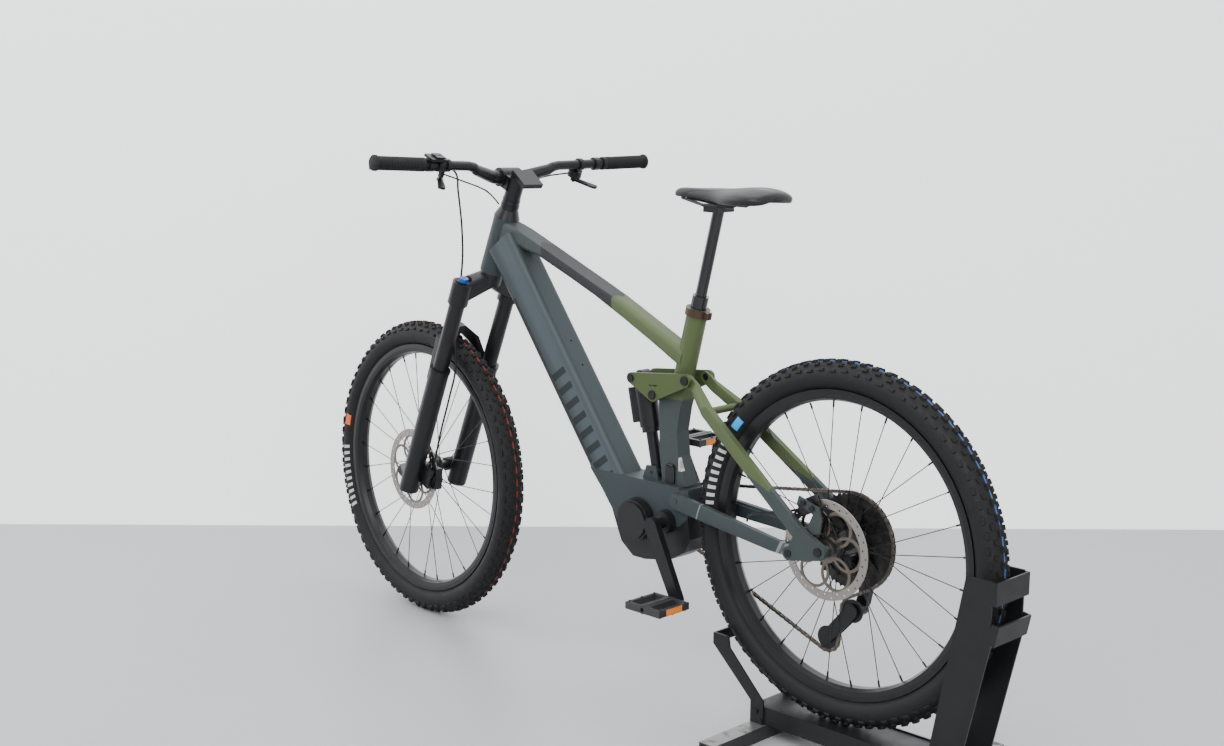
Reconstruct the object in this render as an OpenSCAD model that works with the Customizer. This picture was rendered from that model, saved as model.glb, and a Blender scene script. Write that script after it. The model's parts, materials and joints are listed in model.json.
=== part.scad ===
// Full-suspension electric mountain bicycle held by a floor stand at its rear wheel.
// +X is forward, +Y is the bicycle's left, +Z is up. The origin is the middle of the
// underside of the stand's front cross rail. All sizes are millimetres.

/* [Wheels] */
// Outer radius of both tyres
tyre_r = 372; // [350:1:385]
// Width of both tyres
tyre_w = 66; // [56:1:72]
// Thickness of a tyre's casing
tyre_wall = 3.5; // [2:0.5:5]
// Radius at the inner edge of both rims
rim_r = 290; // [270:1:295]
// Width of both rims
rim_w = 40; // [34:1:44]
// Number of spokes in each wheel
spoke_n = 28; // [24:4:36]
// Diameter of a spoke
spoke_d = 2; // [1.8:0.1:2.6]
// Diameter of both brake rotors
rotor_d = 203; // [160:1:203]
// Width between the front dropouts
front_hub_w = 110; // [100:1:110]
// Width between the rear dropouts
rear_hub_w = 148; // [142:1:157]

/* [Frame] */
// Angle of the head tube from level
head_angle = 68; // [66:0.5:70]
// Length of the head tube
head_len = 141; // [125:1:150]
// Radius of the head tube
head_r = 30; // [28:0.5:32]
// Width of the down tube
down_w = 72; // [64:1:76]
// Depth of the down tube
down_d = 88; // [80:1:92]
// Wall of the down tube
down_wall = 4; // [3:0.5:6]
// Width of the top tube
top_w = 48; // [40:1:52]
// Depth of the top tube
top_d = 32; // [26:1:38]
// Outer radius of the upper seat tube
seat_r = 22.5; // [20:0.5:23]
// Width of the motor and of the shell over it
motor_w = 72; // [64:1:74]

/* [Fork] */
// Distance from the crown race to the front axle along the steering axis
fork_len = 582; // [570:1:600]
// Distance of the front axle ahead of the steering axis
fork_offset = 44; // [37:1:51]
// Radius of a stanchion
stanchion_r = 19; // [17:0.5:20]
// Radius of a lower leg
lower_r = 24.5; // [22:0.5:26]
// Distance from the middle plane to a leg
leg_y = 74; // [70:1:80]
// Travel of the fork
fork_travel = 155; // [140:1:160]
// Turn of the handlebar from straight ahead, to the left
steer = -4; // [-10:0.5:10]

/* [Controls and seat] */
// Half the width of the handlebar
bar_half = 395; // [360:1:400]
// Radius of the handlebar at the grips
bar_r = 11.1; // [11.1]
// Radius of a grip
grip_r = 16; // [14:0.5:17]
// Length of a grip
grip_len = 136; // [120:1:145]
// Radius of the seat post's outer tube
post_r = 15.8; // [15.4:0.1:16.5]
// Radius of the seat post's inner tube
inner_post_r = 12.5; // [11:0.5:13.5]
// Height of the saddle clamp above the seat tube
post_up = 214; // [170:1:230]
// Length of the saddle
saddle_len = 282; // [250:1:290]
// Width of the saddle
saddle_w = 146; // [130:1:160]

/* [Drivetrain] */
// Distance from the crank axis to a pedal axis
crank_len = 165; // [155:1:175]
// Angle of the left crank from straight ahead
crank_turn = -117; // [-180:1:180]
// Number of teeth of the chainring
ring_teeth = 34; // [32:1:36]
// Number of teeth of the largest sprocket
cog_teeth = 50; // [46:1:50]
// Length of a pedal's platform
pedal_len = 98; // [90:1:105]
// Width of a pedal's platform
pedal_w = 92; // [85:1:100]

/* [Stand] */
// Height of the rear tyre above the floor
stand_lift = 66; // [50:1:90]
// Length of both cross rails
rail_len = 430; // [380:1:500]
// Width of both cross rails
rail_w = 40; // [30:1:50]
// Height of both cross rails
rail_h = 30; // [20:1:35]
// Thickness of the stand's plates
plate_t = 4; // [3:0.5:5]
// Half the clear width between the stand's side plates
stand_half = 48; // [42:1:54]

/* [Hidden] */
$fn = 64;
hull_fn = 32;
run_gap = 0.05;
gap = 0.3;
big = 400;

// Places, all measured from the rear axle: [forward, up]
rear_x = -165;
rear_z = tyre_r + stand_lift;
bb = [447, -34];
main_pivot = [413, 19];
horst = [74, -17];
rocker_pivot = [489, 240];
shock_top = [553.5, 269];
stay_pivot = [396, 283];
shock_foot = [508, 62];
head = [1053, 457.2];
seat_top = [396, 434];
seat_angle = 76;
down_mid = [756.5, 210];
down_angle = 53.5;
down_end = 47;

// Wheels
hook_r = rim_r + 24;
tyre_c = tyre_r - tyre_w / 2;
front_c = [fork_offset, 0, -fork_len];
flange_r = 28;
flange_t = 3.5;
front_flanges = [27, -27];
rear_flanges = [33, -19];
axle_front_r = 7.5;
axle_rear_r = 6;
rotor_t = 2;
rotor_hole = 17;
front_rotor_y = front_hub_w / 2 - 11.4;
rear_rotor_y = rear_hub_w / 2 - 16.3;
freehub_r = 14;

// Steering parts, measured along the steering axis from the crown race
steerer_r = 14.3;
steerer_low_r = 19.8;
bearing_r = 24;
cap_h = 22;
spacer_h = 37;
stem_z = head_len + gap + cap_h + spacer_h;
stem_h = 42;
bar_c = [33, 0, stem_z + 28];
bar_clamp_r = 15.9;
bar_bend = [22, 125, stem_z + 61];
bar_tip = [14, bar_half, stem_z + 74];
bar_run = norm(bar_tip - bar_bend);
bar_sweep = atan2(bar_bend[0] - bar_tip[0], bar_tip[1] - bar_bend[1]);
bar_rise = atan2(bar_tip[2] - bar_bend[2], bar_tip[1] - bar_bend[1]);
grip_y = bar_run - grip_len + 2;
leg_x = 6;
crown_top = -30;
crown_low = -87;
seal_z = -265;
leg_low = -fork_len - 30;
stanchion_low = seal_z - 160;
dropout_y = front_hub_w / 2;

// Rear suspension
shell_half = motor_w / 2;
stay_eye = [24.6, 32.4];
plate_y = [33, 41];
chain_arm = [shell_half + gap, shell_half + 12];
drop_y = [rear_hub_w / 2, rear_hub_w / 2 + 10];
horst_eye = [drop_y[0] - gap - 10, drop_y[0] - gap];
stay_neck = [374, 267];
stay_knee = [322, 228];
stay_out = [42, 58];
pivot_r = 7;
eye_slack = 3;
bolt_r = 5;
shock_vec = [shock_top[0] - shock_foot[0], shock_top[1] - shock_foot[1]];
shock_len = norm(shock_vec);
shock_tilt = atan2(shock_vec[0], shock_vec[1]);

// Drivetrain
pitch = 12.7;
ring_y = -55;
cog_y = -28;
cog_step = 3.75;
cogs = [cog_teeth, 44, 38, 33, 28, 24, 21, 18, 16, 14, 12, 10];
function wheel_r(teeth) = pitch * teeth / 360 * 180 / PI;
chain_r = 3.3;
tip_in = chain_r + 0.7;
ring_r = wheel_r(ring_teeth);
cog_r = wheel_r(cog_teeth);
jockey_r = wheel_r(14);
jockey_a = [-8, -cog_r - 42];
jockey_b = [54, -cog_r - 112];
arm_y = [74, 89];
pedal_y = arm_y[1] + 8 + pedal_w / 2;
spindle_r = 12;

// Frames of reference
module bike() { translate([rear_x, 0, rear_z]) children(); }
module headed() { bike() translate([head[0], 0, head[1]]) rotate([0, head_angle - 90, 0]) children(); }
module steered() { headed() rotate([0, 0, steer]) children(); }
module seat_frame() { translate([seat_top[0], 0, seat_top[1]]) rotate([0, seat_angle - 90, 0]) children(); }
module seated() { bike() seat_frame() children(); }
module barred(side) {
    steered() mirror([0, side < 0 ? 1 : 0, 0]) translate(bar_bend) rotate([bar_rise, 0, bar_sweep]) children();
}
module at(p, y = 0) { translate([p[0], y, p[1]]) children(); }
module both() { children(); mirror([0, 1, 0]) children(); }

// Shapes that lie across the bicycle, from low y to high y
module disc(r, y) { translate([0, y[0], 0]) rotate([-90, 0, 0]) cylinder(r = r, h = y[1] - y[0]); }
module slab(y) { translate([0, y[1], 0]) rotate([90, 0, 0]) linear_extrude(y[1] - y[0]) children(); }
module pill(a, b, ra, rb, y, yb) {
    end = is_undef(yb) ? y : yb;
    hull() { at(a) disc(ra, y, $fn = hull_fn); at(b) disc(rb, end, $fn = hull_fn); }
}
module rod(a, b, ra, rb) {
    v = b - a;
    translate(a) rotate([0, acos(v[2] / norm(v)), atan2(v[1], v[0])]) cylinder(r1 = ra, r2 = rb, h = norm(v));
}

// A round cord swept along a smooth curve through hand-placed points
function smooth(p, i, t) = let (a = p[max(i - 1, 0)], b = p[i], c = p[i + 1], d = p[min(i + 2, len(p) - 1)])
    (2 * b + (c - a) * t + (2 * a - 5 * b + 4 * c - d) * t * t + (3 * b - a - 3 * c + d) * t * t * t) / 2;
function course(p, n) = [for (i = [0 : len(p) - 2], j = [0 : n - 1]) smooth(p, i, j / n), p[len(p) - 1]];
function unit(v) = v / norm(v);
function heading(p, i) = unit(p[min(i + 1, len(p) - 1)] - p[max(i - 1, 0)]);
module cord(points, r, n = 4, sides = 8) {
    c = course(points, n);
    loft([for (i = [0 : len(c) - 1]) let (t = heading(c, i), u = unit(cross(t, [0.31, 0.2, 0.93])), w = cross(t, u))
        [for (k = [0 : sides - 1]) c[i] + r * (u * cos(360 * k / sides) + w * sin(360 * k / sides))]]);
}

// A closed skin over rings of points, and a rounded rectangle to make such rings from
module loft(rings) {
    m = len(rings[0]);
    last = (len(rings) - 1) * m;
    skin = [for (i = [0 : len(rings) - 2], k = [0 : m - 1]) let (a = i * m, e = (k + 1) % m)
        each [[a + k, a + m + k, a + m + e], [a + k, a + m + e, a + e]]];
    polyhedron([for (r = rings) each r], concat(skin, [[for (k = [0 : m - 1]) k]],
        [[for (k = [m - 1 : -1 : 0]) last + k]]), convexity = 6);
}
function box_loop(w, d, r, n) = [for (k = [0 : 3], j = [0 : n - 1]) let (t = 90 * k + 90 * j / (n - 1),
    x = k == 0 || k == 3 ? 1 : -1, y = k < 2 ? 1 : -1) [x * (w / 2 - r) + r * cos(t), y * (d / 2 - r) + r * sin(t)]];

// ---- Stand
front_rail_x = 0;
rear_rail_x = rear_x - 235;
channel_front = rail_w / 2;
channel_rear = rear_x - 240;
web_z = stand_lift - gap;
side_top = web_z + 3;
hoop_front = [rear_x + 288, rear_z - 252];
hoop_h = 24;
post_foot = [rear_x - 278, rail_h];
post_head = [rear_x - 350, rear_z + 18];
hoop_rear = rear_x - tyre_r - 12;

module stand_rails() {
    color("#232426") for (x = [front_rail_x, rear_rail_x]) translate([x, 0, rail_h / 2])
        difference() {
            cube([rail_w, rail_len, rail_h], center = true);
            cube([rail_w - 2 * plate_t, rail_len + 1, rail_h - 2 * plate_t], center = true);
        }
}

module stand_plate(points) { both() slab([stand_half + plate_t, stand_half + 2 * plate_t]) polygon(points); }

module hoop(x_in, x_out, z, h, tilt) {
    translate([x_in, 0, z]) rotate([0, tilt, 0]) translate([0, 0, -h / 2]) linear_extrude(h) {
        far = x_out - x_in;
        for (s = [-1, 1]) translate([min(0, far), s * (stand_half + 1.5 * plate_t) - plate_t / 2])
            square([abs(far), plate_t]);
        translate([far - plate_t / 2, -stand_half - 2 * plate_t]) square([plate_t, 2 * stand_half + 4 * plate_t]);
    }
}

module stand_frame() {
    color("#1b1c1e") {
        translate([channel_rear, -stand_half, web_z - plate_t]) cube([channel_front - channel_rear, 2 * stand_half, plate_t]);
        both() translate([channel_rear, stand_half, rail_h])
            cube([channel_front - channel_rear, plate_t, side_top - rail_h]);
        stand_plate([[-14, rail_h], [20, rail_h], [20, side_top + 8], [hoop_front[0] + plate_t / 2, hoop_front[1] - hoop_h / 2],
            [hoop_front[0] + plate_t / 2, hoop_front[1] + hoop_h / 2], [hoop_front[0] - 40, hoop_front[1] + hoop_h / 2],
            [hoop_front[0] - 44, hoop_front[1] - hoop_h / 2], [-14, side_top + 12]]);
        translate([hoop_front[0] - plate_t / 2, -stand_half - plate_t, hoop_front[1] - hoop_h / 2])
            cube([plate_t, 2 * stand_half + 2 * plate_t, hoop_h]);
        stand_plate([[post_foot[0] - 32, post_foot[1]], [post_foot[0] + 36, post_foot[1]],
            [post_head[0] + 30, post_head[1]], [post_head[0] - 26, post_head[1]], [post_head[0] - 26, post_head[1] - 130]]);
        difference() {
            union() {
                hoop(post_head[0] - 26, hoop_rear, rear_z - 6, 44, 0);
                hoop(post_head[0] - 24, hoop_rear - 4, rear_z - 82, 40, -12);
            }
            stand_plate([[post_foot[0] - 32, post_foot[1]], [post_foot[0] + 36, post_foot[1]],
                [post_head[0] + 30, post_head[1]], [post_head[0] - 26, post_head[1]], [post_head[0] - 26, post_head[1] - 130]]);
        }
        both() for (p = [[4, side_top - 12], [-8, rail_h + 8], [post_foot[0] + 12, rail_h + 10], [post_foot[0] - 14, side_top - 10]])
            at(p) disc(5, [stand_half + 2 * plate_t, stand_half + 2 * plate_t + 3.5]);
    }
}

// ---- Main frame
module head_zone() {
    headed() {
        translate([0, 0, -big / 2]) cylinder(r = head_r, h = big);
        translate([0, -big / 2, -big]) cube([big, big, 2 * big]);
    }
}

module head_tube() {
    color("#3d4b4c") headed() difference() {
        cylinder(r = head_r, h = head_len);
        translate([0, 0, 14]) cylinder(r = bearing_r, h = head_len - 28);
        translate([0, 0, -1]) cylinder(r = steerer_low_r + run_gap, h = 20);
        translate([0, 0, head_len - 15]) cylinder(r = steerer_r + run_gap, h = 20);
    }
}

// The down tube's own frame has its z axis along the tube and its x axis out of the underside
module downed() { bike() translate([down_mid[0], 0, down_mid[1]]) rotate([0, 90 - down_angle, 0]) children(); }
module down_section(grow) {
    r = 15 + grow;
    d = down_d + 2 * grow;
    w = down_w + 2 * grow;
    for (x = [-1, 1], y = [-1, 1]) translate([x * (d / 2 - r), y * (w / 2 - r)]) circle(r = r, $fn = hull_fn);
    square([d - 2 * r, w], center = true);
    square([d, w - 2 * r], center = true);
}
module down_solid(grow = 0) { downed() translate([0, 0, -big]) linear_extrude(2 * big) down_section(grow); }
module below(z) { bike() translate([-big, -big / 2, z - big]) cube([4 * big, big, big]); }
cover_depth = 20;
cover_low = -168;
cover_high = 262;
battery_size = [58, 56, 400];

module down_tube() {
    color("#3d4b4c") difference() {
        down_solid();
        downed() translate([0, 0, -big]) linear_extrude(cover_high + big - 14) down_section(-down_wall);
        downed() translate([down_d / 2 - cover_depth, -big / 2, cover_low - gap])
            cube([big, big, cover_high - cover_low + 2 * gap]);
        head_zone();
        headed() translate([-big, -big / 2, head_len]) cube([2 * big, big, big]);
        below(down_end);
        for (z = [40, 104]) downed() translate([-down_d / 2 - 1, 0, z]) rotate([0, 90, 0]) cylinder(r = 2.5, h = down_wall + 2);
    }
}

module battery_cover() {
    color("#2b3334") downed() difference() {
        translate([0, 0, cover_low]) linear_extrude(cover_high - cover_low) down_section(-0.5);
        translate([-big + down_d / 2 - cover_depth, -big / 2, -big]) cube([big, big, 2 * big]);
        translate([down_d / 2 - cover_depth - 1, -battery_size[1] / 2, cover_low + 12])
            cube([cover_depth - 5, battery_size[1], cover_high - cover_low - 24]);
    }
}

module battery() {
    color("#17181a") downed() translate([down_d / 2 - 6 - battery_size[0], -battery_size[1] / 2 + gap, cover_low + 16])
        cube([battery_size[0], battery_size[1] - 2 * gap, battery_size[2]]);
}

top_run = [[1010, 556], [930, 544], [863, 523], [772, 486], [683, 449], [591, 406], [500, 362], [400, 312]];
top_deep = [58, 48, 38, 35, 34, 34, 36, 40];
function top_ring(i) = let (p = [for (q = top_run) [q[0], 0, q[1]]], t = heading(p, i), w = cross(t, [0, 1, 0]))
    [for (q = box_loop(top_w, top_deep[i] * top_d / 32, 12, 5)) p[i] + [0, q[0], 0] + w * q[1]];
module top_tube() {
    color("#26292b") difference() {
        bike() loft([for (i = [0 : len(top_run) - 1]) top_ring(i)]);
        down_solid();
        head_zone();
        headed() translate([-big, -big / 2, head_len]) cube([2 * big, big, big]);
        seated() translate([0, 0, -big]) cylinder(r = seat_r, h = 2 * big);
        seated() translate([-big, -big / 2, -big]) cube([big, big, 2 * big]);
    }
}

seat_split = -172;
seat_low = [[407, down_end], [430, 110], [436, 162], [427, 215], [412, 264], [436, 275], [474, 262], [489, 254],
    [489, 226], [485, 110], [476, down_end]];
low_half = 19.5;
module seat_tube() {
    color("#5f7048") difference() {
        union() {
            seated() translate([0, 0, seat_split]) cylinder(r = seat_r, h = -seat_split);
            bike() difference() {
                slab([-low_half, low_half]) polygon(seat_low);
                seat_frame() translate([-big / 2, -big / 2, seat_split]) cube(big);
            }
            bike() at(rocker_pivot) disc(14, [-plate_y[0] + gap, plate_y[0] - gap]);
        }
        seated() translate([0, 0, -218]) cylinder(r = post_r, h = big);
        bike() at(rocker_pivot) disc(pivot_r + run_gap, [-big, big]);
        seated() translate([-seat_r - 4, -1, -24]) cube([12, 2, 30]);
    }
}

cover_c = [530, -44];
cover_r = 46;
shell_line = [[385, down_end], [590, down_end], [683, down_end], [645, 5], [613, -35], [598, -54], [530, -44],
    [447, -34], [412, -40], [385, -14]];
motor_line = [[613, -35], [598, -70], [583, -104], [547, -131], [510, -131], [438, -118], [392, -92], [379, -62],
    [383, -32], [385, -14], [500, 20]];
module shell_flat() {
    difference() {
        polygon(shell_line);
        translate(cover_c) circle(r = cover_r + 3);
        translate(bb) circle(r = 28);
    }
}
module motor_shell() {
    color("#3d4b4c") {
        bike() difference() {
            slab([-shell_half, shell_half]) shell_flat();
            at(shock_foot) disc(18, [-14.3, 14.3]);
            at(main_pivot) disc(pivot_r, [-big, big]);
            at([400, down_end]) disc(12, [-big, big]);
        }
        bike() both() difference() {
            slab([15, 20]) polygon([[488, down_end], [534, down_end], [524, 76], [496, 78]]);
            at(shock_foot) disc(bolt_r, [-big, big]);
        }
    }
}
module motor() {
    color("#141519") bike() difference() {
        slab([-shell_half, shell_half]) {
            difference() {
                polygon(motor_line);
                polygon(shell_line);
            }
            translate(cover_c) circle(r = cover_r + 3 - gap);
            translate(bb) circle(r = 28 - gap);
        }
        at(bb) disc(spindle_r + run_gap, [-big, big]);
    }
}
module motor_covers() {
    color("#1a1b1e") bike() {
        at(cover_c) {
            disc(cover_r, [shell_half, shell_half + 20]);
            disc(cover_r - 6, [shell_half + 20, shell_half + 25]);
            disc(cover_r - 4, [-shell_half - 12, -shell_half]);
        }
        for (y = [[shell_half, shell_half + 16], [-shell_half - 8, -shell_half]]) difference() {
            at(bb) disc(25, y);
            at(bb) disc(spindle_r + run_gap, [-big, big]);
            at(cover_c) disc(cover_r + 1, [-big, big]);
        }
    }
}

clamp_h = 16;
module seat_clamp() {
    color("#5a4636") seated() difference() {
        union() {
            translate([0, 0, -clamp_h]) cylinder(r = seat_r + 4, h = clamp_h);
            translate([-seat_r - 11, -8, -clamp_h]) cube([14, 16, clamp_h]);
        }
        translate([0, 0, -big / 2]) cylinder(r = seat_r, h = big);
        translate([-seat_r - 20, -1, -big / 2]) cube([30, 2, big]);
    }
}
module post_outer() {
    color("#121214") seated() difference() {
        union() {
            translate([0, 0, -216]) cylinder(r = post_r, h = 217);
            cylinder(r = 17.8, h = 28);
        }
        translate([0, 0, -big]) cylinder(r = inner_post_r + run_gap, h = 2 * big);
    }
}
module post_inner() {
    color("#121214") seated() {
        translate([0, 0, -36]) cylinder(r = inner_post_r, h = post_up + 36);
        translate([0, 0, post_up]) rotate([0, 90 - seat_angle, 0]) difference() {
            translate([-20, -26, -2]) cube([40, 52, 14]);
            for (y = [-22, 22]) translate([-30, y, 12]) rotate([0, 90, 0]) cylinder(r = rail_r, h = 60);
        }
    }
}
rail_r = 3.5;
saddle_z = seat_top[1] + post_up * sin(seat_angle) + 12;
saddle_mid = seat_top[0] - post_up * cos(seat_angle);
saddle_tail = saddle_mid - 160;
saddle_nose = saddle_tail + saddle_len;
module saddle_rails() {
    color("#202124") bike() for (y = [-22, 22]) translate([0, y, saddle_z]) {
        rod([saddle_mid - 56, 0, 0], [saddle_mid + 25, 0, 0], rail_r, rail_r);
        rod([saddle_mid - 53, 0, -1.2], [saddle_mid - 100, 0, 20.9], rail_r - 0.2, rail_r - 0.2);
        rod([saddle_mid + 22, 0, -0.6], [saddle_mid + 95, -sign(y) * 14, 10.7], rail_r - 0.2, rail_r - 0.2);
    }
}
// Along the saddle: [part of its length, half width, height of the crown, drop of the edge, skirt]
saddle_form = [[0, 0.66, 18, 14, 13], [0.04, 0.88, 26, 20, 14], [0.16, 1, 28, 29, 14], [0.3, 0.94, 24, 31, 14],
    [0.45, 0.66, 21, 27, 13], [0.6, 0.36, 20, 20, 12], [0.8, 0.27, 19, 16, 12], [0.95, 0.22, 16, 14, 11], [1, 0.12, 10, 8, 9]];
function saddle_ring(f) = let (x = saddle_tail + f[0] * saddle_len, h = f[1] * saddle_w / 2)
    concat([for (a = [0 : 15 : 180]) [x, h * cos(a), f[2] - f[3] * pow(abs(cos(a)), 2.2)]],
        [for (a = [180 : -30 : 0]) [x, h * 0.86 * cos(a), f[2] - f[4] - f[3] * pow(abs(cos(a)), 2.2)]]);
module saddle() {
    color("#2a2a2d") bike() translate([0, 0, saddle_z + 16]) loft([for (f = saddle_form) saddle_ring(f)]);
}

flap = [438, down_end + 3, 464, down_end + 45];
module port_flap() {
    color("#191a1c") bike() translate([flap[0], low_half + gap, flap[1]]) {
        cube([flap[2] - flap[0], 4, flap[3] - flap[1] - 6]);
        translate([3, 3, flap[3] - flap[1] - 3]) rotate([0, 90, 0]) cylinder(r = 2.6, h = 20);
        translate([3, 0.5, flap[3] - flap[1] - 7]) cube([20, 3, 4]);
    }
}

// ---- Rear suspension
module rocker_link() {
    color("#5f7048") bike() {
        both() difference() {
            union() {
                pill(rocker_pivot, shock_top, 15, 12, plate_y);
                pill(rocker_pivot, stay_pivot, 14, 14, plate_y);
                pill(shock_top, stay_pivot, 12, 14, plate_y);
            }
            at(rocker_pivot) disc(pivot_r, [0, big]);
            at(shock_top) disc(bolt_r, [0, big]);
            at(stay_pivot) disc(bolt_r, [0, big]);
        }
        at((shock_top + 1.4 * rocker_pivot) / 2.4) disc(5, [-plate_y[0], plate_y[0]]);
    }
}
module rocker_bolts() {
    color("#1c1c1e") bike() {
        at(rocker_pivot) {
            disc(pivot_r, [-plate_y[1], plate_y[1]]);
            both() disc(10, [plate_y[1], plate_y[1] + 3]);
        }
        at(shock_top) {
            disc(bolt_r, [-plate_y[1], plate_y[1]]);
            both() disc(9, [plate_y[1], plate_y[1] + 3]);
        }
        both() at(stay_pivot) {
            disc(bolt_r, [stay_eye[0], plate_y[1]]);
            disc(10, [plate_y[1], plate_y[1] + 3]);
        }
    }
}

// The shock's own frame has its z axis from the lower eye up to the upper eye
module shocked() { bike() translate([shock_foot[0], 0, shock_foot[1]]) rotate([0, shock_tilt, 0]) children(); }
can_low = 88;
shaft_r = 13;
module shock_can() {
    color("#18181a") shocked() difference() {
        union() {
            translate([0, 0, can_low]) cylinder(r = 21, h = 12);
            translate([0, 0, can_low + 12]) cylinder(r = 24, h = shock_len - can_low - 40);
            translate([0, 0, shock_len - 28]) cylinder(r1 = 24, r2 = 12, h = 18);
            translate([0, 0, shock_len]) disc(14, [-13, 13]);
            translate([34, 0, can_low + 24]) cylinder(r = 14, h = 78);
            translate([0, -8, can_low + 84]) cube([34, 16, 14]);
        }
        translate([0, 0, shock_len]) disc(bolt_r + eye_slack, [-big, big]);
        translate([0, 0, can_low - 1]) cylinder(r = shaft_r + run_gap, h = shock_len - can_low - 24);
    }
}
module shock_shaft() {
    color("#101012") shocked() difference() {
        union() {
            disc(12, [-13, 13]);
            translate([0, 0, 4]) cylinder(r = shaft_r, h = can_low + 10);
        }
        disc(bolt_r + run_gap, [-big, big]);
    }
    color("#1c1c1e") shocked() disc(bolt_r - run_gap, [-20, 20]);
}

arm_rear = [horst_eye[0] - 3, horst_eye[1] - 3];
module chainstays() {
    color("#3d4b4c") bike() {
        both() difference() {
            union() {
                pill(main_pivot, [330, 8], 17, 17, chain_arm, [chain_arm[0] + 3, chain_arm[1] + 3]);
                pill([330, 8], [130, -12], 17, 14, [chain_arm[0] + 3, chain_arm[1] + 3], arm_rear);
                pill([130, -12], horst, 14, 11, arm_rear, horst_eye);
            }
            at(main_pivot) disc(pivot_r, [0, big]);
            at(horst) disc(bolt_r, [0, big]);
        }
    }
    color("#1c1c1e") bike() {
        at(main_pivot) {
            disc(pivot_r - run_gap, [-shell_half - gap, shell_half + gap]);
            both() disc(pivot_r, [shell_half + gap, chain_arm[1] + 2]);
        }
    }
}

drop_r = 17;
module seatstays() {
    color("#5f7048") bike() {
        both() difference() {
            union() {
                pill(stay_pivot, stay_neck, 12, 12, stay_eye);
                pill(stay_neck, stay_knee, 12, 12, stay_eye, stay_out);
                pill(stay_knee, [48, 26], 12, 15, stay_out, drop_y);
                slab(drop_y) polygon([[53, 40], [74, -4], horst, [68, -31], [-2, -17], [-12, -12], [-17, 2], [-10, 14], [40, 39]]);
                disc(drop_r, drop_y);
                at(horst) disc(14, drop_y);
            }
            at(stay_pivot) disc(bolt_r + eye_slack, [0, big]);
            disc(axle_rear_r, [0, big]);
            at(horst) disc(bolt_r + run_gap, [0, big]);
        }
        at(stay_knee) disc(8, [-stay_out[0] - 3, stay_out[0] + 3]);
        difference() {
            slab([rear_rotor_y + 12.3, drop_y[0]]) polygon([[20, 30], [36, 40], [22, 70], [62, 88], [58, 102], [8, 86], [0, 60], [4, 34]]);
            at([46, 90]) disc(3, [0, big]);
            at([24, 82]) disc(3, [0, big]);
        }
        slab([-drop_y[1], -drop_y[0]]) polygon([[-14, -8], [-20, -40], [4, -40], [12, -12]]);
    }
}
module rear_axle() {
    color("#1a1a1c") bike() {
        disc(axle_rear_r, [-drop_y[1], drop_y[1]]);
        both() disc(9, [drop_y[1], drop_y[1] + 3]);
        both() at(horst) disc(bolt_r, [horst_eye[0], drop_y[1]]);
        both() at(horst) disc(8, [drop_y[1], drop_y[1] + 2]);
    }
}
module calliper(rotor_y) {
    difference() {
        union() {
            translate([-26, rotor_y - 12, -15]) cube([52, 20, 30]);
            for (y = [rotor_y - 16, rotor_y + 8]) translate([-4, 0, 0]) disc(13, [y, y + 4]);
        }
        translate([-40, rotor_y - 1.6, -22]) cube([80, 3.2, 33]);
    }
}
module rear_caliper() {
    color("#17171a") bike() translate([40, 0, 84]) rotate([0, 28, 0]) calliper(rear_rotor_y);
    color("#b9bbbd") bike() for (p = [[46, 90], [24, 82]]) at(p) {
        disc(3, [rear_rotor_y + 12.3, drop_y[0]]);
        disc(6, [drop_y[0], drop_y[0] + 4]);
    }
}

// ---- Wheels, each drawn about its own axle
module tyre() {
    rotate([90, 0, 0]) rotate_extrude($fn = 180) difference() {
        translate([tyre_c, 0]) circle(d = tyre_w);
        translate([tyre_c, 0]) circle(d = tyre_w - 2 * tyre_wall);
        translate([0, -tyre_w]) square([hook_r, 2 * tyre_w]);
    }
}
module rim() {
    w = rim_w / 2;
    rotate([90, 0, 0]) rotate_extrude($fn = 180) difference() {
        polygon([[rim_r, -8], [rim_r, 8], [rim_r + 5, w - 2], [rim_r + 14, w], [hook_r, w], [hook_r, w - 4.5],
            [rim_r + 17, w - 4.5], [rim_r + 15, w - 12], [rim_r + 15, 12 - w], [rim_r + 17, 4.5 - w],
            [hook_r, 4.5 - w], [hook_r, -w], [rim_r + 14, -w], [rim_r + 5, 2 - w]]);
        translate([rim_r + 3, 12 - w]) square([9, 2 * w - 24]);
    }
}
function around(r, a, y) = [r * cos(a), y, r * sin(a)];
module spokes(flanges) {
    for (i = [0 : spoke_n - 1]) {
        left = i % 2;
        lead = i % 4 < 2 ? 1 : -1;
        out = flanges[left] + lead * (flange_t / 2 + spoke_d / 2 + 0.6);
        swing = lead * 58;
        turn = 360 * (i + 0.5) / spoke_n;
        a = around(flange_r - 4, turn + swing, out);
        b = around(rim_r - 0.6, turn, left ? -3 : 3);
        v = unit(b - a);
        rod(a, b, spoke_d / 2, spoke_d / 2);
        rod(b - 13 * v, b, 2.1, 2.1);
    }
}
module hub(flanges, half, barrel, rotor_y, right_r, bore) {
    difference() {
        union() {
            disc(barrel, [flanges[1], flanges[0]]);
            for (y = flanges) disc(flange_r, [y - flange_t / 2, y + flange_t / 2]);
            disc(21, [flanges[0], rotor_y - rotor_t / 2]);
            disc(rotor_hole, [flanges[0], rotor_y + 3]);
            disc(11, [flanges[0], half - run_gap]);
            disc(right_r, [-half + run_gap, flanges[1]]);
        }
        disc(bore + run_gap, [-big, big]);
    }
}
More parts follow.
